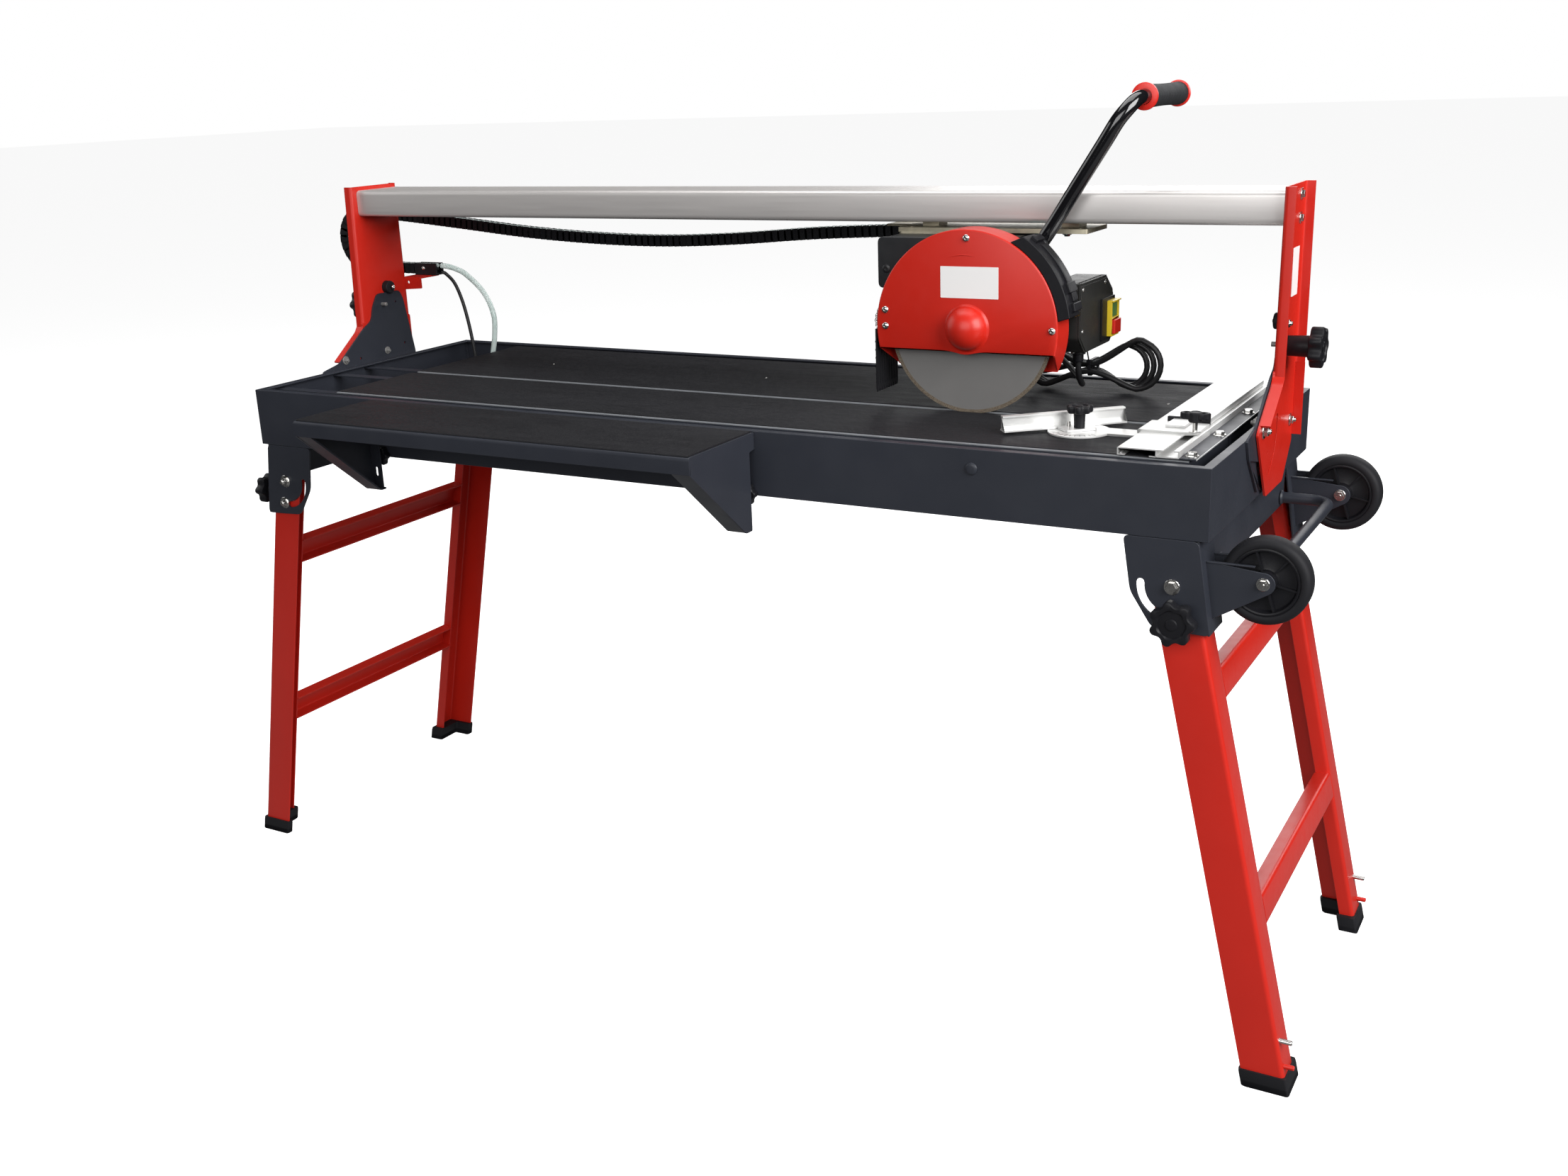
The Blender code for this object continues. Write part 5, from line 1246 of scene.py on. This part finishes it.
def make_switch():
    near, far, low, high = 0.245, 0.3785, 0.8545, 0.947
    shape = [(near, low + 0.021), (near + 0.022, low), (far - 0.009, low), (far, low + 0.009),
             (far, high - 0.023), (far - 0.030, high), (near, high)]
    inner = [(y + (0.0018 if y < 0.30 else -0.0018), z + (0.0018 if z < 0.90 else -0.0040))
             for y, z in shape]
    body = plate(rounded(shape, 0.003, 3), "x", 0.4628, 0.5014)
    seam = plate(rounded(inner, 0.003, 3), "x", 0.5010, 0.5024)
    lid = plate(rounded(shape, 0.003, 3), "x", 0.5020, 0.5038)
    face = plate(rounded(inner, 0.003, 3), "x", 0.5034, 0.5050)
    brow = block((0.4980, near + 0.004, high - 0.0006), (0.5050, far - 0.031, high))
    piece("switch_case", [body, seam, lid, face, brow], M["box_plastic"], "carriage",
          "black_plastic", ("switch_box",), 0.0007)
    x = 0.5053
    frame = plate(rounded([(0.3240, 0.8610), (0.3765, 0.8610), (0.3765, 0.9170),
                           (0.3240, 0.9170)], 0.002, 3), "x", x, x + 0.0025)
    rim = rounded([(0.3445, 0.8645), (0.3760, 0.8645), (0.3760, 0.9125), (0.3445, 0.9125)],
                  0.0016, 3)
    wells = [[(0.3470, 0.8677), (0.3736, 0.8677), (0.3736, 0.8873), (0.3470, 0.8873)],
             [(0.3470, 0.8897), (0.3736, 0.8897), (0.3736, 0.9093), (0.3470, 0.9093)]]
    cap = plate(rim, "x", x + 0.0020, x + 0.0090, wells)
    hood = plate(rounded([(0.3445, 0.9105), (0.3760, 0.9105), (0.3760, 0.9125),
                          (0.3445, 0.9125)], 0.0005, 2), "x", x + 0.0085, x + 0.0115)
    piece("switch_surround", [cap, hood], M["yellow_plastic"], "carriage", "yellow_plastic",
          ("switch_plate",), 0.0005, extra=[(frame, M["black_plastic"])])
    for node, mat, slot in (("start_button", "green_plastic", "green_plastic"),
                            ("stop_button", "red_plastic", "red_plastic")):
        refined(node, M[mat], node, slot, 0.0012, segments=3)
    gland = turned([(0.0044, 0.8375), (0.0066, 0.8375), (0.0072, 0.8400), (0.0072, 0.8470),
                    (0.0098, 0.8476), (0.0098, 0.8542), (0.0044, 0.8542)], (0.484, 0.300, 0),
                   "z", 32)
    piece("gland_body", gland, M["black_plastic"], "carriage", "black_plastic",
          ("lead_gland",), 0.0003)
    screws = [button_head((0.5050, y, z), "x", 1, 0.0026, 0.0012)
              for y, z in ((0.254, 0.884), (0.254, 0.938), (0.342, 0.938))]
    screws.append(button_head((0.4890, 0.2640, 0.8550), "z", -1, 0.0030, 0.0020))
    piece("switch_screws", screws, M["screw_steel"], "carriage", "steel")


def make_handle():
    y = 0.2485
    route = [(0.424, y, 0.972), (0.434, y, 0.979), (0.446, y, 0.993), (0.463, y, 1.017),
             (0.496, y, 1.068), (0.531, y, 1.122), (0.546, y + 0.001, 1.146),
             (0.556, y + 0.007, 1.160), (0.563, y + 0.018, 1.170), (0.567, y + 0.036, 1.174),
             (0.567, 0.310, 1.174), (0.567, 0.438, 1.174)]
    path = smooth_route(route, 0.005)
    piece("bent_handle", swept(path, 0.0095, 32, Vector((0.7, 0.1, -0.6))), M["gloss_coat"],
          "carriage", "gloss_coat", ("handle_tube",))
    collar = [(0.0098, 0.2880), (0.0150, 0.2880), (0.0168, 0.2886), (0.0170, 0.2900),
              (0.0170, 0.2920), (0.0160, 0.2932), (0.0125, 0.2934), (0.0125, 0.4328),
              (0.0160, 0.4330), (0.0170, 0.4340), (0.0170, 0.4356), (0.0160, 0.4368),
              (0.0098, 0.4370)]
    piece("grip_collars", turned(collar, (0.567, 0, 1.174), "y", 56), M["red_plastic"],
          "carriage", "red_plastic", ("grip_sleeve",))
    cover = [(0.0128, 0.2936), (0.0144, 0.2936), (0.0147, 0.2950)]
    for n in range(25):
        t = n / 24
        ease = 0.0146 - 0.0010 * math.sin(math.pi * t)
        y0 = 0.2960 + 0.1340 * t
        cover += [(ease, y0), (ease - 0.0005, y0 + 0.0019), (ease, y0 + 0.0038)]
    cover += [(0.0146, 0.4320), (0.0128, 0.4324)]
    cover = [(r, min(h, 0.4324)) for r, h in cover]
    piece("grip_rubber_cover", turned(cover, (0.567, 0, 1.174), "y", 56), M["grip_rubber"],
          "carriage", "rubber", ("grip_cover",))


def make_blade():
    cx, cy, cz = BLADE
    core = [(0.1101, 0.0010), (0.0127, 0.0010), (0.0127, -0.0010), (0.1101, -0.0010)]
    piece("blade_disc", turned(core, BLADE, "y", 128), M["steel"], "blade_spindle", "steel",
          ("blade",), sharp=40)
    rim = [(0.1150, 0.0010), (0.1148, 0.0012), (0.1100, 0.0012), (0.1100, -0.0012),
           (0.1148, -0.0012), (0.1150, -0.0010)]
    piece("blade_rim", turned(rim, BLADE, "y", 128), M["rim"], "blade_spindle", "steel",
          sharp=40)
    start = cy + 0.0013
    shaft = [(0, 0.255), (0.0122, 0.255), (0.0122, start + 0.004), (0.0218, start + 0.004),
             (0.0225, start + 0.0033), (0.0225, start), (0.0122, start), (0.0122, 0.1975),
             (0.0116, 0.1970), (0, 0.1970)]
    piece("arbor_shaft", turned(shaft, (cx, 0, cz), "y", 48), M["screw_steel"],
          "blade_spindle", "steel", ("arbor",))


# ---------------------------------------------------------------- side table and angle stop

def make_side_table():
    x0, x1 = -0.504, 0.155
    top = 0.779
    cages = [plate(ribbon([(-0.1567, 0.757), (-0.1567, 0.7777), (-0.0018, 0.7777),
                           (-0.0018, 0.757)], 0.0025, 0.004), "x", x0, x1)]
    for outer, inward in ((x0, 1), (x1, -1)):
        face = outer
        panel = rounded([(-0.1570, 0.757), (-0.1555, 0.7765), (-0.0008, 0.7765),
                         (-0.0008, 0.757), (-0.0147, 0.755), (-0.0147, 0.6504),
                         (-0.0300, 0.6504), (-0.1560, 0.756)], 0.002, 3)
        low, high = sorted((face, face + inward * 0.0025))
        cages.append(plate(panel, "x", low, high))
        slope = ribbon([(-0.1550, 0.7575), (-0.0305, 0.6518), (-0.0190, 0.6518)], 0.0025, 0.004)
        low, high = sorted((face + inward * 0.0010, face + inward * 0.0280))
        cages.append(plate(slope, "x", low, high))
        low, high = sorted((face + inward * 0.0010, face + inward * 0.0200))
        slot = [(x, z) for x, z in rounded([(low + 0.007, 0.668), (low + 0.012, 0.668),
                                            (low + 0.012, 0.682), (low + 0.007, 0.682)],
                                           0.0024, 4)]
        cages.append(plate([(low, 0.6506), (high, 0.6506), (high, 0.758), (low, 0.758)], "y",
                           -0.0170, -0.0147, [slot]))
    piece("side_table_folded", cages, M["grey_coat"], "side_table", "grey_coat",
          ("side_table",), 0.0006)
    lines = []
    count = 40
    pitch = 0.151 / count
    for n in range(count):
        y = -0.155 + n * pitch
        lines += [(y + 0.0003, top + 0.0011), (y + 0.0008, top + 0.0019),
                  (y + pitch - 0.0008, top + 0.0019), (y + pitch - 0.0003, top + 0.0011)]
    outline = [(-0.155, top + 0.0003), (-0.004, top + 0.0003)] + lines[::-1]
    piece("side_mat_ribbed", plate(outline, "x", x0 + 0.003, x1 - 0.003), M["mat_rubber"],
          "side_table", "rubber", ("side_table_mat",), sharp=20)


def make_angle_stop():
    top = 0.7906
    arm = TABLE + 0.0003
    ax, ay = 0.547, 0.128
    fold = ribbon([(ax + 0.012, arm + 0.0014), (0.6254, arm + 0.0014), (0.6254, top + 0.0016),
                   (0.6970, top + 0.0016)], 0.0028, 0.0012)
    arm_part = plate(fold, "y", 0.120, 0.152)
    for vert in arm_part.verts:
        if vert.co.z > top - 0.0002:
            vert.co.y = 0.115 if vert.co.y < 0.136 else 0.170
    disc = turned([(0, arm), (0.0385, arm), (0.0390, arm + 0.0006), (0.0390, arm + 0.0024),
                   (0.0384, arm + 0.0029), (0, arm + 0.0029)], (ax, ay, 0), "z", 72)
    ticks = []
    for n in range(19):
        turn = Matrix.Translation((ax, ay, 0)) @ Matrix.Rotation(math.radians(140 + 10 * n), 4,
                                                                 "Z")
        long = 0.006 if n % 3 else 0.009
        ticks.append(moved(block((0.0375 - long, -0.0003, arm + 0.0027),
                                 (0.0375, 0.0003, arm + 0.00303)), turn))
    piece("stop_plate", arm_part, M["rail_aluminium"], "angle_stop", "zinc",
          ("stop_block",), 0.0004)
    piece("protractor_disc", disc, M["rail_aluminium"], "angle_stop", "zinc",
          extra=[(t, M["black_plastic"]) for t in ticks])
    bar = ribbon([(0.6540, top + 0.0007), (0.6447, top + 0.0007), (0.6447, top + 0.0072),
                  (0.6953, top + 0.0072), (0.6953, top + 0.0007), (0.6860, top + 0.0007)],
                 0.0014, 0.0004)
    bar = plate(bar, "y", 0.1775, 0.4460)
    tongue = block((0.652, 0.136, top + 0.0033), (0.676, 0.180, top + 0.0060))
    cap = plate(rounded([(0.6438, top - 0.0001), (0.6962, top - 0.0001), (0.6962, top + 0.0083),
                         (0.6438, top + 0.0083)], 0.0010, 3), "y", 0.1742, 0.1780)
    piece("flat_bar", [bar, tongue], M["rail_aluminium"], "angle_stop", "aluminium",
          ("stop_bar",), 0.0002, extra=[(cap, M["black_plastic"])])
    kx, ky = 0.6925, 0.121
    wings = []
    for level, grow in ((0.0185, 0.86), (0.0190, 0.96), (0.0200, 1.0), (0.0250, 1.0),
                        (0.0260, 0.96), (0.0265, 0.86)):
        ring = []
        for n in range(64):
            angle = 2 * math.pi * n / 64
            reach = 0.0050 + 0.0125 * abs(math.cos(angle)) ** 2.2
            ring.append((kx + reach * grow * math.cos(angle), ky + reach * grow
                         * (0.62 + 0.38 * abs(math.sin(angle))) * math.sin(angle), top + level))
        wings.append(ring)
    knobs = [turned([(0.0052, 0.0000), (0.0060, 0.0010), (0.0060, 0.0070), (0.0050, 0.0080),
                     (0, 0.0080)], (kx + side * 0.0122, ky, top + 0.0185), "z", 24)
             for side in (-1, 1)]
    hub = turned([(0, 0.0150), (0.0074, 0.0150), (0.0083, 0.0162), (0.0083, 0.0258),
                  (0.0072, 0.0272), (0.0052, 0.0275), (0.0046, 0.0268), (0, 0.0266)],
                 (kx, ky, top), "z", 40)
    stud = turned([(0, 0.0033), (0.0030, 0.0033), (0.0030, 0.0160), (0, 0.0160)],
                  (kx, ky, top), "z", 20)
    washer = turned([(0.0032, 0.0031), (0.0070, 0.0031), (0.0070, 0.0041), (0.0032, 0.0041)],
                    (kx, ky, top), "z", 28)
    piece("stop_tee_knob", [lofted(wings), hub] + knobs, M["black_plastic"], "stop_knob",
          "black_plastic", ("stop_knob",), extra=[(stud, M["screw_steel"]),
                                                  (washer, M["screw_steel"])])
    low = TABLE + 0.0036
    turn = Matrix.Translation((ax, ay, 0)) @ Matrix.Rotation(math.radians(41), 4, "Z")
    section = [(0.0160, low + 0.0010), (0.0275, low + 0.0010), (0.0275, low + 0.0180),
               (0.0225, low + 0.0180)]
    rail = moved(plate(ribbon(section, 0.0020, 0.0006), "x", -0.0915, 0.0700), turn)
    upper_lip = moved(block((-0.0915, 0.0265, low + 0.0168), (0.0700, 0.0305, low + 0.0190)), turn)
    lower_lip = moved(block((-0.0915, 0.0265, low), (0.0700, 0.0320, low + 0.0020)), turn)
    foot = plate(rounded([(-0.020, -0.010), (0.020, -0.010), (0.024, 0.0170), (-0.024, 0.0170)],
                         0.006, 4), "z", low, low + 0.0025, [circle((0, 0), 0.0035)])
    piece("mitre_fence", [rail, upper_lip, lower_lip, moved(foot, turn)], M["rail_aluminium"],
          "angle_fence", "aluminium", ("angle_fence",), 0.0003)
    pins = [turned([(0, low + 0.0025), (0.0022, low + 0.0025), (0.0022, low + 0.008),
                    (0.0016, low + 0.0086), (0, low + 0.0086)], (x, y, 0), "z", 16)
            for x, y in ((ax - 0.015, ay + 0.004), (ax - 0.008, ay + 0.012))]
    piece("fence_pins", pins, M["screw_steel"], "angle_fence", "steel")
    knob = star_knob((ax, ay, low + 0.0028), "z", 1, 0.0165, 0.0090, 0.0066, 0.0190)
    piece("angle_star", knob, M["black_plastic"], "angle_knob", "black_plastic",
          ("angle_knob",))


for step in (set_camera, set_studio, make_cords, make_base, make_leg_mounts, make_legs,
             make_wheels, make_carry_handle, make_rail, make_columns, make_beam, make_chain,
             make_star_knobs, make_carriage, make_head_plate, make_motor, make_guard,
             make_cover, make_flap, make_switch, make_handle, make_blade, make_side_table,
             make_angle_stop):
    step()
